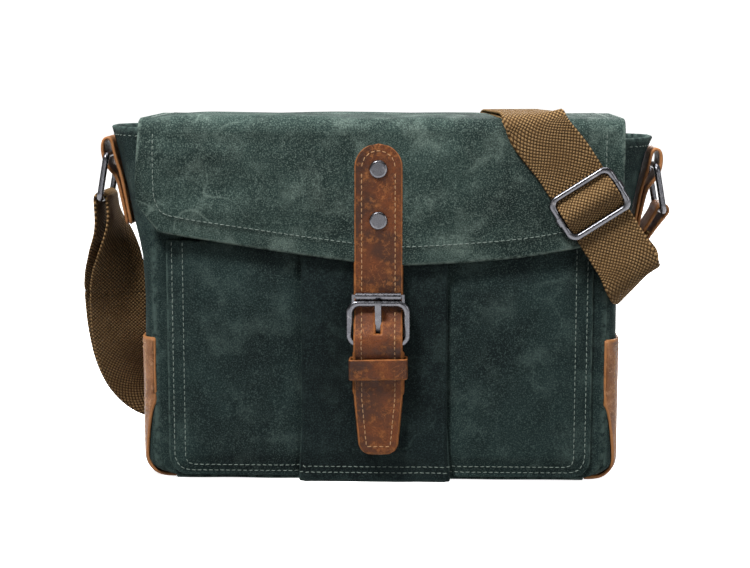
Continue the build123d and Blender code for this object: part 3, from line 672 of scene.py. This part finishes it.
def lining_box():
    """Open cloth box inside the bag, with soft creases."""
    front, back = -38.9, 45.5
    loop = rounded_loop(156.5, front, back, radius=9, steps=6, count=181)
    middle = Vector((0, (front + back) / 2, 0))
    walls = (6.2, 8.5, 12.5, *np.linspace(18, LINING_TOP, 46))
    sizes = [(share, 5.6) for share in (0.05, 0.3, 0.55, 0.8, 0.93)]
    sizes += [(0.965 + 0.035 * smoothstep(z, 5.6, 16), z) for z in walls]
    rows = [[middle.lerp(p, share) + Vector((0, 0, z)) for p in loop] for share, z in sizes]

    def creases(p):
        middle_height = smoothstep(p[2], 14, 50) * (1 - smoothstep(p[2], 205, 230))
        return -1.3 * lumps(p, (42, 42, 30), 6) * middle_height

    box = cloth("lining_cloth", rows, 1.0, LINING, "lining_cloth", relief=creases)
    attach(box, "bag", "lining")


# ---- front pocket ----
def pocket_edge(x, z):
    """Distance in from the pocket's sewn border."""
    side = corner_half_width(z, POCKET_HALF_W, POCKET_LOW, POCKET_CORNER) - abs(x)
    return min(side, max(0.0, z - POCKET_LOW) + 0.3)


def pocket_relief(p):
    """Border sewn down, soft bellies beside the pleat, and thread lines that pull in and pucker."""
    x, _, z = p
    inside = pocket_edge(x, z)
    lie = -4.4 * (1 - smoothstep(inside, 0.5, 17))
    to_pleat = min(abs(x - PLEAT_X[0]), abs(x - PLEAT_X[1]))
    centre = PLEAT_X[0] < x < PLEAT_X[1]
    room = smoothstep(inside, 14, 50) * (1 - smoothstep(z, 120, 150))
    belly = 0.0 if centre else 1.5 * room * smoothstep(to_pleat, 2, 45)
    loose = smoothstep(inside, 8, 40) * (1 - 0.5 * smoothstep(z, 120, 160))
    folds = 0.0 if centre else 0.9 * rough(p, (46, 40, 60), 1.3) * loose
    pucker = 0.22 * rough(p, 7, 2) * math.exp(-((inside - 9) / 7) ** 2)
    sink = -0.32 * (math.exp(-((inside - 3.3) / 1.1) ** 2) + math.exp(-((inside - 11) / 1.3) ** 2))
    tuck = -2.4 if centre else -2.4 * math.exp(-(to_pleat / 6) ** 2)
    return lie + belly + folds + pucker + sink + tuck


def front_pocket():
    shares = [-1, -0.994, -0.985, *np.linspace(-0.972, 0.972, 139), 0.985, 0.994, 1]
    rows = upright(POCKET_HALF_W, POCKET_LOW, POCKET_TOP, POCKET_CORNER, POCKET_Y, shares, 76)
    pocket = cloth("pocket_cloth", rows, 1.9, CANVAS, "canvas", relief=pocket_relief)
    attach(pocket, "bag", "front_pocket")

    def border(inset, bottom):
        """Line a set distance in from the pocket's sides and bottom, down one side and up the other."""
        radius = max(4.0, POCKET_CORNER - inset * 0.7)
        x = POCKET_HALF_W - inset - radius
        z = POCKET_LOW + bottom + radius
        line = [(-x - radius, AHEAD, POCKET_TOP)]
        for k in range(7):
            angle = math.radians(180 + 15 * k)
            line.append((-x + radius * math.cos(angle), AHEAD, z + radius * math.sin(angle)))
        return line + [(-x, y, z) for x, y, z in reversed(line)]

    rows = [border(3.3, 3.3), border(11, 7.6)]
    thread("pocket_stitches", rows, (0, 1, 0), [pocket, pleat()], "canvas", "bag")


def pleat_relief(p):
    """Folded side edges, a pressed foot and a soft face."""
    x, _, z = p
    edge = min(x - PLEAT_X[0], PLEAT_X[1] - x)
    turn = -1.5 * (1 - smoothstep(edge, 0, 1.6)) ** 2
    press = -3.6 * (1 - smoothstep(z, 3, 22)) * (0.75 + 0.25 * rough(p, 18, 7))
    soft = -0.9 * lumps(p, (30, 40, 50), 11)
    groove = -0.16 * math.exp(-((edge - 5) / 1.2) ** 2)
    return turn + press + soft * smoothstep(edge, 0, 12) * smoothstep(abs(x), 14, 26) + groove


def pleat():
    """Proud centre panel of the box pleat; its folded edges stand off the pocket."""
    rows = []
    edge = [0, 0.25, 0.6, 1.1, 1.7, 2.6]
    for z in (0.6, 1.2, 2.2, 3.6, 5.2, 7, 9.5, *np.linspace(12, POCKET_TOP - 0.5, 60)):
        flare = 1.6 * (1 - smoothstep(z, 0, 40))
        low, high = PLEAT_X[0] - flare, PLEAT_X[1] + flare
        middle = np.linspace(low + 4, high - 4, 56)
        xs = [low + k for k in edge] + list(middle) + [high - k for k in edge[::-1]]
        rows.append([(x, PLEAT_Y, z) for x in xs])
    # its darker canvas is painted shade, for the shadow the flap's hem casts on the pleat
    panel = cloth("pleat_cloth", rows, 1.7, SHADED_PLEAT_CANVAS, "canvas", relief=pleat_relief, round_rim=0.5)
    attach(panel, "bag", "pocket_pleat")
    return panel


# ---- leather side pockets and tabs ----
def side_pocket(name, side):
    """Leather on the lower part of the side, carried round its foot and under the base."""
    face = HALF_W + 1.9
    route = [(0, SIDE_POCKET_TOP), (0, 60), (0, 22), (0.1, 11), (-4.2, 4.4), (-10.8, 1.15), (-19, 1.15)]
    line = even(nurbs([(side * (face + out), 2.9, z) for out, z in route]), 60)
    depths = columns(44.4, 61)
    rows = []
    for p in line:
        reach = 1 - 0.13 * (1 - smoothstep(p.z, 8, 62))
        spots = [p.y + k * (reach if k < 0 else 1) for k in depths]
        rows.append([Vector((p.x - side * corner_inset(y), y, p.z)) for y in spots])
    piece = cloth(name + "_leather", rows, LEATHER_T, TAN, "leather", flip=side < 0, centred=True,
                  relief=lambda p: 0.25 * rough(p, 22, 4) - 0.1)
    attach(piece, "bag", name)
    rows = [[(side * face, y, z) for y in (-39, 44)] for z in (93.5, 89.5)]
    rows.append([(side * face, 44.3, z) for z in (88, 14)])
    rows.append([(side * face, y, z) for y, z in ((-38.3, 88), (-38, 62), (-36, 40), (-33.5, 20))])
    thread(name + "_stitches", rows, (-side, 0, 0), [piece], "leather", "bag")


def ring_tab(name, side, drop):
    """Leather tab, folded over the ring's top bar and riveted below it."""
    inner = [(171.9, 173), (174.8, 189), (177.8, 205), (180.6, 214), (182.7, 222)]
    loop = [(183.8, 228.0), (185.3, 231.0), (187.6, 231.8), (189.6, 230.4), (190.8, 227.0)]
    outer = [(190.8, 221), (189.0, 214.5), (185.4, 209.5), (180.9, 204.5), (177.6, 189), (174.6, 173)]
    route = [Vector((side * x, 0, z + drop)) for x, z in inner + loop + outer]
    line = even(nurbs(route), 90)
    across = [Vector((0, 1, 0))] * len(line)
    piece = strip(name + "_leather", line, across, columns(15, 11), 2.1, TAN, "leather", flip=side < 0,
                  relief=lambda p: 0.12 * rough(p, 12, 2))
    attach(piece, "bag", name)
    rows = [[(side * 190, y, z + drop) for z in (175.5, 211)] for y in (-12.2, 12.2)]
    rows.append([(side * 190, y, 175.5 + drop) for y in (-12.2, 12.2)])
    thread(name + "_stitches", rows, (-side, 0, 0), [piece], "leather", "bag", pitch=3.6, long=2.6)


# ---- flap ----
HEM = [(x, 0, z) for x, z in (
    (-161, 205), (-160.6, 194), (-158.4, 188), (-147.6, 174), (-142, 171), (-93, 163), (-45, 156.1),
    (0, 150.7), (32, 150.7), (93, 155.5), (143, 164.6), (149.5, 169), (159, 183), (160.8, 190), (161, 198),
)]
FLAP_STITCH = [(x, AHEAD, z) for x, z in (
    (-149, 237), (-149, 215), (-148.8, 197), (-146.5, 189), (-139, 182.5), (-93, 175), (-45, 168.1),
    (0, 162.7), (32, 162.7), (93, 167.5), (136, 175.5), (145, 182), (148.6, 192), (149.4, 210), (149.4, 237),
)]
HEM_LINE = smooth_line(HEM, 141)
TOP_STEPS = 26
FRONT_STEPS = 56
TURN_STEPS = 8


def flap_rows(inset, rise, with_seam):
    """Rows of the flap's face: up the back seam, over the hinge, across the top and down to the hem."""
    back_r = 7.0 - inset
    front_r = 8.0 - inset
    half = FLAP_HALF_W - inset * 0.3
    across = [half * k / 70 * (0.984 if k < 0 else 1) for k in range(-70, 71)]
    rows = []
    if with_seam:
        for k in range(8):
            z = lerp(206, 236, k / 8)
            rows.append([(x * FLAP_BACK, lerp(50.1, 50.9, k / 8), z) for x in across])

    def turn(centre, radius, start, narrow):
        for k in range(TURN_STEPS + 1):
            angle = math.radians(start + 90 * k / TURN_STEPS)
            y = centre[0] + radius * math.cos(angle)
            z = centre[1] + radius * math.sin(angle)
            rows.append([(x * lerp(narrow, 1, k / TURN_STEPS), y, z) for x in across])

    turn(HINGE, back_r, 0, FLAP_BACK)
    for k in range(1, TOP_STEPS):
        y = lerp(HINGE[0], FOLD[0], k / TOP_STEPS)
        rows.append([(x, y, HINGE[1] + back_r) for x in across])
    turn(FOLD, front_r, 90, 1)
    front = FOLD[0] - front_r
    ends = [(x, h.x * half / FLAP_HALF_W, h.z + rise) for x, h in zip(across, HEM_LINE)]
    for t in np.linspace(0, 1, FRONT_STEPS + 1)[1:]:
        rows.append([(lerp(x, end_x, t), front, lerp(FOLD[1], end_z, t)) for x, end_x, end_z in ends])
    return rows


def flap_edge(p):
    """Distance in from the flap's sides and hem."""
    x, y, z = p
    side = FLAP_HALF_W - abs(x)
    if y > FOLD[0] - 4:
        return side
    return min(side, min(math.hypot(x - h.x, z - h.z) for h in HEM_LINE[::2]))


def flap_sag(p):
    """Soft shape shared by the flap's cloth and its lining, outwards."""
    x, y, z = p
    clear = smoothstep(abs(x), 17, 34)
    under_web = 1 - smoothstep(x, 52, 66) * (1 - smoothstep(x, 156, 160))
    on_fold = smoothstep(z, 228, 240) * smoothstep(156 - abs(x), 0, 34) * clear * under_web
    fold = 2.6 * lumps((x, 0, 0), 62, 5.5) * on_fold
    if y > FOLD[0]:
        back = HINGE[0] - y
        dip = 3.4 * math.sin(math.pi * min(1.0, max(0.0, back / 90))) * smoothstep(158 - abs(x), 0, 40)
        web_rest = 1 - 0.75 * smoothstep(x, 62, 80) * (1 - smoothstep(x, 122, 140))
        return -dip * (0.35 + 0.65 * abs(rough(p, 80, 2))) * web_rest - fold * smoothstep(back, 45, 90)
    height = smoothstep(z, 168, 188) * (1 - smoothstep(z, 222, 240))
    dents = 3.0 * lumps(p, (54, 40, 28), 4.4) * height
    streaks = 1.3 * lumps((x + z * 0.6, y, z - x * 0.3), (46, 40, 12), 7.1) * height
    low = 0.45 * lumps(p, 36, 3.3) * (1 - smoothstep(z, 168, 186))
    return -(dents + streaks + low) * clear * under_web - fold


def flap_relief(p):
    """The sag, with a doubled hem that stands proud and a thread line that pulls in and puckers."""
    x, y, _ = p
    if y > HINGE[0]:
        return 0.0
    inside = flap_edge(p)
    clear = smoothstep(abs(x), 16, 20)
    band = 0.35 * (1 - smoothstep(inside, 9.6, 11.2)) * clear
    sink = -0.3 * math.exp(-(inside - FLAP_MARGIN) ** 2) * clear
    pucker = 0.2 * rough(p, 6.5, 5) * math.exp(-((inside - FLAP_MARGIN) / 6) ** 2) * clear
    return flap_sag(p) + (band + sink + pucker) * (1 if y < FOLD[0] else 0.6)


def flap():
    # the flap's lighter canvas is painted light
    outer = cloth("flap_cloth", flap_rows(0.0, 0.0, True), 1.8, LIT_FLAP_CANVAS, "canvas", relief=flap_relief)
    lining = cloth("flap_lining_cloth", flap_rows(1.9, 1.0, False), 1.0, LINING, "lining_cloth",
                   relief=lambda p: flap_sag(p) if p[1] < HINGE[0] else 0.0)
    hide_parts("flap_outer", "flap_seam_strip", "flap_hinge_fold")
    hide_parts("flap_lining")
    thread("flap_stitches", [smooth_line(FLAP_STITCH, 200)], (0, 1, 0), [outer], "canvas", "flap")
    rows = [[(side * (FLAP_HALF_W - 10), y, 260) for y in (-47, 34)] for side in (-1, 1)]
    thread("flap_top_stitches", rows, (0, 0, -1), [outer], "canvas", "flap")
    rows = [[(x, BEHIND, z) for x in (-150, 150)] for z in (209.5, 231)]
    thread("flap_seam_stitches", rows, (0, -1, 0), [outer], "canvas", "bag")
    for piece in (outer, lining):    # sewn to the bag behind the hinge
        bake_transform(piece)


# ---- closure strap ----
def closure_line():
    """Middle line of the closure strap, from its round top down over the buckle to the tail's end."""
    upper = [(-55.2, z) for z in (STRAP_TOP, 215, 200, 185, 170, 158)]
    lower = [(-55.2, 149.7), (-55.3, 134), (-55.7, 122), (-60.2, 111), (-64.9, 101.5), (-64.6, 95.2),
             (-60.6, 88.6), (-58.4, 81), (-57.2, 66), (-56.9, 44), (-56.6, STRAP_LOW)]
    return smooth_line([(0, y, z) for y, z in upper + lower], 190)


def strap_half(z):
    """Half width: round at the top, a short taper to a blunt end at the bottom."""
    rise = z - (STRAP_TOP - STRAP_HALF_W)
    if rise > 0:
        return math.sqrt(max(1.0, STRAP_HALF_W ** 2 - rise ** 2))
    return float(np.interp(z, (STRAP_LOW, 23.2, 25.2, 28, 60), (7.4, 9.4, 11.2, 12.4, STRAP_HALF_W)))


def closure_strap():
    line = closure_line()
    left = [-1, -0.965, -0.92, -0.8, -0.65, -0.5, -0.35, -0.24, -0.16, -0.08]
    shares = [*left, 0, *(-k for k in reversed(left))]
    rows = [[p + Vector((k * strap_half(p.z), 0, 0)) for k in shares] for p in line]

    def slot_hole(p):
        return abs(p[0]) < 2.3 and 104 < p[2] < 119 and p[1] < -55.9

    def wear(p):
        return 0.16 * rough(p, 9, 3) + 0.2 * rough(p, (30, 30, 17), 6)

    strap = cloth("closure_strap_leather", rows, 2.4, LEATHER, "leather", centred=True, relief=wear,
                  skip=slot_hole)
    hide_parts("closure_strap_upper", "closure_strap_lower")
    ahead = AHEAD - 6        # the strap stands out over the buckle
    lines = []
    for side in (-1, 1):
        for low, high in ((131, 212), (27, 120)):
            lines.append([(side * (strap_half(p.z) - STRAP_MARGIN), ahead, p.z) for p in line
                          if low < p.z < high])
    radius = STRAP_HALF_W - STRAP_MARGIN
    lines.append([(radius * math.cos(a), ahead, STRAP_TOP - STRAP_HALF_W + radius * math.sin(a))
                  for a in np.linspace(math.pi, 0, 14)])
    lines.append([(x, ahead, 27) for x in (-8.1, 8.1)])
    stitches = thread("closure_stitches", lines, (0, 1, 0), [strap], "leather", pitch=3.7)
    for piece in (strap, stitches):
        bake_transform(piece)


def chape():
    """Backing strap folded over the buckle's heel bar behind the tail."""
    low = 58
    line = smooth_line([(0, y, z) for y, z in (
        (-53.6, low), (-53.6, 75), (-53.6, 88), (-53.7, 95), (-54.3, 99.2), (-56.6, 101.0),
    )], 60)
    shares = (-1, -0.96, -0.88, *np.linspace(-0.75, 0.75, 15), 0.88, 0.96, 1)
    rows = []
    for p in line:
        half = 16.5 - 3.2 * smoothstep(p.z, 90, 94) - 5 * max(0.0, 1 - (p.z - low) / 6) ** 2
        rows.append([p + Vector((k * half, 0, 0)) for k in shares])
    piece = cloth("chape_leather", rows, LEATHER_T, LEATHER, "leather", centred=True,
                  skip=lambda p: abs(p[0]) < 3.4 and p[2] > 91.5)
    attach(piece, "closure", "chape")


def keeper():
    """Leather loop round tail and chape, a little askew."""
    loop = rounded_loop(18.9, -63.5, -51.35, radius=1.6, steps=5, count=97)
    heights = (87, 86.5, 85.8, 84, 82, 80, 78, 76, 75.2, 74.5, 74)
    rows = [[Vector((p.x, p.y, z + 0.02 * p.x)) for p in loop] for z in heights]
    piece = cloth("keeper_leather", rows, 1.4, LEATHER, "leather", centred=True, flip=True,
                  relief=lambda p: 0.08 * rough(p, 8, 1))
    attach(piece, "keeper", "keeper")


# ---- shoulder strap ----
def front_point(along, y):
    """Point on the front run, measured up the webbing from the slider's centre."""
    return (SLIDER[0] - along * math.sin(SLIDER_LEAN), y, SLIDER[1] + along * math.cos(SLIDER_LEAN))


FRONT_ACROSS = (math.cos(SLIDER_LEAN), 0, math.sin(SLIDER_LEAN))
TOP_ACROSS = (0.98, 0.16, 0)
RING_TILT = math.radians(10)
RING_PIVOT = (186.6, 220.5)
RING_DROP = 31.0
RING_BAR_R = 2.1
BAR = (RING_PIVOT[0] + RING_DROP * math.sin(RING_TILT), RING_PIVOT[1] - RING_DROP * math.cos(RING_TILT))
END_START = (182.4, 0, 168.4)


def front_run(*places):
    """Stations up the front, each from its distance up the webbing from the slider's centre and its y."""
    return [(front_point(along, y), FRONT_ACROSS) for along, y in places]


def top_run(*points):
    return [(point, TOP_ACROSS) for point in points]


# Stations of the webbing's two layers: a point on the middle line and the direction across the strap.
END_RUN = [
    (END_START, (0, -1, 0)),
    ((177.6, 0, 160.1), (0, -1, 0)), ((176.3, -0.4, 156.6), (0, -1, 0)),
    ((176, -5, 151), (0.1, -0.95, 0.3)), ((176.8, -13.5, 146.5), (0.3, -0.7, 0.6)),
    ((177.4, -24, 141.5), (0.5, -0.3, 0.8)), ((175, -37, 138), (0.6, -0.2, 0.75)),
    ((171, -49, 136.5), (0.66, -0.1, 0.7)), ((168.6, -57.5, 140.5), (0.8, 0, 0.58)),
] + front_run((-48, -59.4), (-38, -58.2))
FRONT_RUN = front_run((-26, -58), (-14, -57.6), (4, -57.5), (20, -57.7), (34, -57.8)) + [
    ((105.5, -58.3, 237), (0.9, 0, 0.4)), ((102, -56.5, 247.6), (0.95, 0.06, 0.2)),
] + top_run((99.5, -46, 250), (97, -24, 249.8), (94.5, 6, 249.2), (92, 30, 248.9))
BACK_RUN = [
    ((90.8, 44, 248.9), TOP_ACROSS), ((89.8, 52.3, 246.2), (0.98, 0.1, -0.1)),
    ((88, 55.5, 238), (0.95, 0, -0.3)), ((80, 55.5, 221), (0.86, 0, -0.5)),
    ((61, 55.6, 196), (0.74, 0, -0.67)), ((31, 55.6, 166), (0.7, 0, -0.72)),
    ((-4, 56, 134), (0.67, 0, -0.74)), ((-42, 56.4, 101), (0.64, 0, -0.77)),
    ((-80, 56.8, 71), (0.58, 0, -0.81)), ((-112, 57.2, 50), (0.42, 0, -0.9)),
    ((-140, 57.6, 40), (0.2, 0, -0.98)),
]
LEFT_OUTER = [
    ((-163, 56.8, 38.5), (-0.1, 0, -1)), ((-181, 51, 47), (-0.55, 0, -0.83)),
    ((-190.5, 43, 66), (-0.88, 0, -0.47)), ((-194.5, 34, 92), (-1, 0, 0)),
    ((-194, 26, 118), (-1, -0.12, 0)), ((-193, 19, 142), (-0.8, -0.6, 0)),
    ((-194.5, 9.5, 162), (-0.4, -0.9, 0)), ((-196, 2, 178), (0, -1, 0)),
]
LEFT_RETURN = [(point, across) for point, (_, across) in zip((
    (-161, 54.6, 38), (-177, 45, 46), (-186.5, 34, 64), (-189, 21, 90),
    (-187.5, 12, 116), (-185.5, 6.5, 140), (-184.8, 2.5, 160), (-186.6, 0.5, 177),
), LEFT_OUTER)]
RETURN_RUN = front_run((5.6, -56.6), (11, -55.9), (19, -55.4), (34, -55.3)) + [
    ((105.5, -55.7, 237), (0.9, 0, 0.4)), ((102, -53.7, 244.7), (0.95, 0.06, 0.2)),
] + top_run((99.5, -46, 246.6), (97, -24, 246.8), (94.5, 6, 246.7), (92, 30, 246.4))
BACK_RETURN = [
    ((90.8, 44, 246.4), TOP_ACROSS), ((89.8, 50.5, 244.4), (0.98, 0.1, -0.1)),
    ((88, 53, 238), (0.95, 0, -0.3)),
] + [((x, y - 2.4, z), across) for (x, y, z), across in BACK_RUN[3:]]


def ring_wrap(start, end):
    """Control points round the left ring's bottom bar, from one side to the top."""
    reach = RING_BAR_R + WEB_T / 2 + 0.95
    angles = [math.radians(lerp(start, end, k / 4)) for k in range(5)]
    return [((-BAR[0] + reach * math.cos(a), 0, BAR[1] + reach * math.sin(a)), (0, -1, 0)) for a in angles]


def run(stations):
    """Smooth centre line and width directions of a run of webbing."""
    centre = nurbs([Vector(p) for p, _ in stations])
    edge = nurbs([Vector(p) + Vector(a).normalized() * WEB_HALF_W for p, a in stations])
    across = []
    for k, (c, e) in enumerate(zip(centre, edge)):
        along = (centre[min(k + 1, len(centre) - 1)] - centre[max(k - 1, 0)]).normalized()
        side = e - c
        across.append((side - along * side.dot(along)).normalized())
    return centre, across


def nearest(line, point):
    return min(range(len(line)), key=lambda k: (line[k] - Vector(point)).length)


def webbing_piece(name, route, first, last):
    """One length of the strap, from one place on its route to another, and its middle line."""
    centre, across = route
    a, b = nearest(centre, first), nearest(centre, last)
    line = centre[a:b + 1]
    piece = strip(name, line, across[a:b + 1], columns(WEB_HALF_W, 15), WEB_T, WEBBING, "webbing",
                  round_rim=0.5, relief=lambda p: 0.12 * rough(p, 16, 5))
    start_uv = length_of(centre[:a + 1])
    uv = piece.data.uv_layers["cloth"].data
    values = np.empty(len(uv) * 2, np.float32)
    uv.foreach_get("uv", values)
    values[1::2] += start_uv
    uv.foreach_set("uv", values)
    return piece, line


def shoulder_strap():
    """Outer layer from ring to ring, inner layer back to the slider, and the loop over its bar."""
    outer = run(END_RUN + FRONT_RUN + BACK_RUN + LEFT_OUTER + ring_wrap(180, 90))
    inner = run(RETURN_RUN + BACK_RETURN + LEFT_RETURN + ring_wrap(0, 90))
    rise = ((15.5, -58.7), (11.5, -59.1), (8, -61.5), (4.5, -64.9))
    hump = run(front_run(*((-along, y) for along, y in rise), (0, -66.6), *reversed(rise)))
    ring_end = (-BAR[0], 0, BAR[1] + 4)
    pieces, lines = {}, {}
    for route, names, cuts in (
        (outer, ("root", "end_run", "front_run", "hinge_run", "back_run", "ring_run"),
         (END_START, (176.5, -0.4, 157), front_point(-30, -58.6), (92.6, 26, 249), (78, 55.5, 217),
          (-193.5, 24, 122), ring_end)),
        (inner, ("front_inner", "hinge_inner", "back_inner", "ring_inner"),
         (inner[0][0], (92.4, 26, 246.5), (78, 53.1, 217), (-187, 11, 120), ring_end)),
        (hump, ("over_bar",), (hump[0][0], hump[0][-1])),
    ):
        for name, first, last in zip(names, cuts, cuts[1:]):
            pieces[name], lines[name] = webbing_piece("webbing_" + name, route, first, last)
    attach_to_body(pieces["over_bar"], "slider_bar")
    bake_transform(pieces["root"])
    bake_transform(pieces["end_run"])
    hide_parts("webbing_end")
    for layer, node_end in (("_run", ""), ("_inner", "_return")):
        attach(pieces["front" + layer], "flap", "webbing_front" + node_end)
        back, hinge, ring = (pieces[part + layer] for part in ("back", "hinge", "ring"))
        attach(back, "bag", "webbing_back" + node_end)
        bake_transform(hinge)
        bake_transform(ring)


def strap_end():
    """Leather strap end folded through the right ring over the webbing."""
    down = Vector((-0.5, 0, -0.866))
    out = Vector((0.866, 0, -0.5))
    start = Vector(END_START)
    gap = 2.45               # from the webbing's middle to the leather's
    centre = Vector((BAR[0], 0, BAR[1] - 7))
    reach = 3.952            # from the middle of the fold to the leather's
    turn = []
    for k in range(9):
        angle = math.radians(lerp(190, -30, k / 8))
        turn.append(centre + Vector((math.cos(angle), 0, math.sin(angle))) * reach)
    inner = [start - out * gap + down * d for d in (7.6, 0)]
    outer = [start + out * gap + down * d for d in (0, 7.6)]
    line = even(nurbs(inner + turn + outer), 80)
    piece = strip("strap_end_leather", line, [Vector((0, 1, 0))] * len(line), columns(15.5, 11), 2.1, TAN,
                  "leather", relief=lambda p: 0.08 * rough(p, 9, 5))
    attach(piece, "ring_right", "strap_end_tab")


# ---- floor and light ----
def studio():
    """White paper floor and surround, a soft dim sky and four soft lamps."""
    corners = [(x * 9000, y * 9000, -0.3) for x, y in ((-1, -1), (1, -1), (1, 1), (-1, 1))]
    floor = mesh_object("floor", corners, [[0, 1, 2, 3]])
    bpy.ops.mesh.primitive_uv_sphere_add(radius=11, segments=64, ring_count=32)
    surround = bpy.context.object
    surround.name = "surround"
    for backdrop, glow in ((floor, 0.9), (surround, 1.0)):
        paper = Shader(backdrop.name + "_paper", roughness=0.9)
        paper.colour(paper.mix(paper.noise(3, 2), srgb(250, 250, 250), srgb(253, 253, 253)))
        paper.shader.inputs["Emission Color"].default_value = (1, 1, 1, 1)
        paper.shader.inputs["Emission Strength"].default_value = glow
        backdrop.data.materials.append(paper.material)
        backdrop.visible_diffuse = False
    surround.visible_glossy = False
    surround.visible_shadow = False
    world = bpy.data.worlds.new("studio")
    world.use_nodes = True
    world.node_tree.nodes["Background"].inputs["Color"].default_value = (1, 1, 1, 1)
    world.node_tree.nodes["Background"].inputs["Strength"].default_value = 0.2
    bpy.context.scene.world = world
    for name, place, aim, size, power in (
        ("key", (-0.7, -0.95, 1.8), (0, 0, 0.12), 0.45, 62),
        ("top", (0.2, 0.2, 1.7), (0, 0, 0.15), 1.0, 26),
        ("side", (1.4, -1.0, 0.6), (0.1, 0, 0.12), 0.6, 9),
        ("rear", (0.5, 1.5, 1.1), (0, 0, 0.12), 0.8, 26),
    ):
        data = bpy.data.lights.new(name, "AREA")
        data.size = size
        data.energy = power
        light = bpy.data.objects.new(name, data)
        bpy.context.scene.collection.objects.link(light)
        light.location = place
        light.rotation_euler = (Vector(aim) - Vector(place)).to_track_quat("-Z", "Y").to_euler()


def dress_hardware():
    metal = ("snap_socket", "tab_rivet_left", "tab_rivet_right", "closure_rivets", "snap_stud",
             "buckle_frame", "buckle_roller", "buckle_prong", "ring_left", "ring_right", "slider_frame",
             "slider_bar", "strap_end_rivet")
    for names, material in ((metal, METAL), (("base_board",), BOARD)):
        for name in names:
            mesh = NODES[name].data
            mesh.materials.clear()
            mesh.materials.append(material)


# ---- the bag ----
shoulder_strap()
body_panels()
gusset("gusset_left", -1, EAR_LEFT)
gusset("gusset_right", 1, EAR_RIGHT)
lining_box()
front_pocket()
side_pocket("side_pocket_left", -1)
side_pocket("side_pocket_right", 1)
ring_tab("ring_tab_left", -1, 0)
ring_tab("ring_tab_right", 1, RIGHT_TAB_DROP)
flap()
closure_strap()
chape()
keeper()
strap_end()
dress_hardware()
studio()
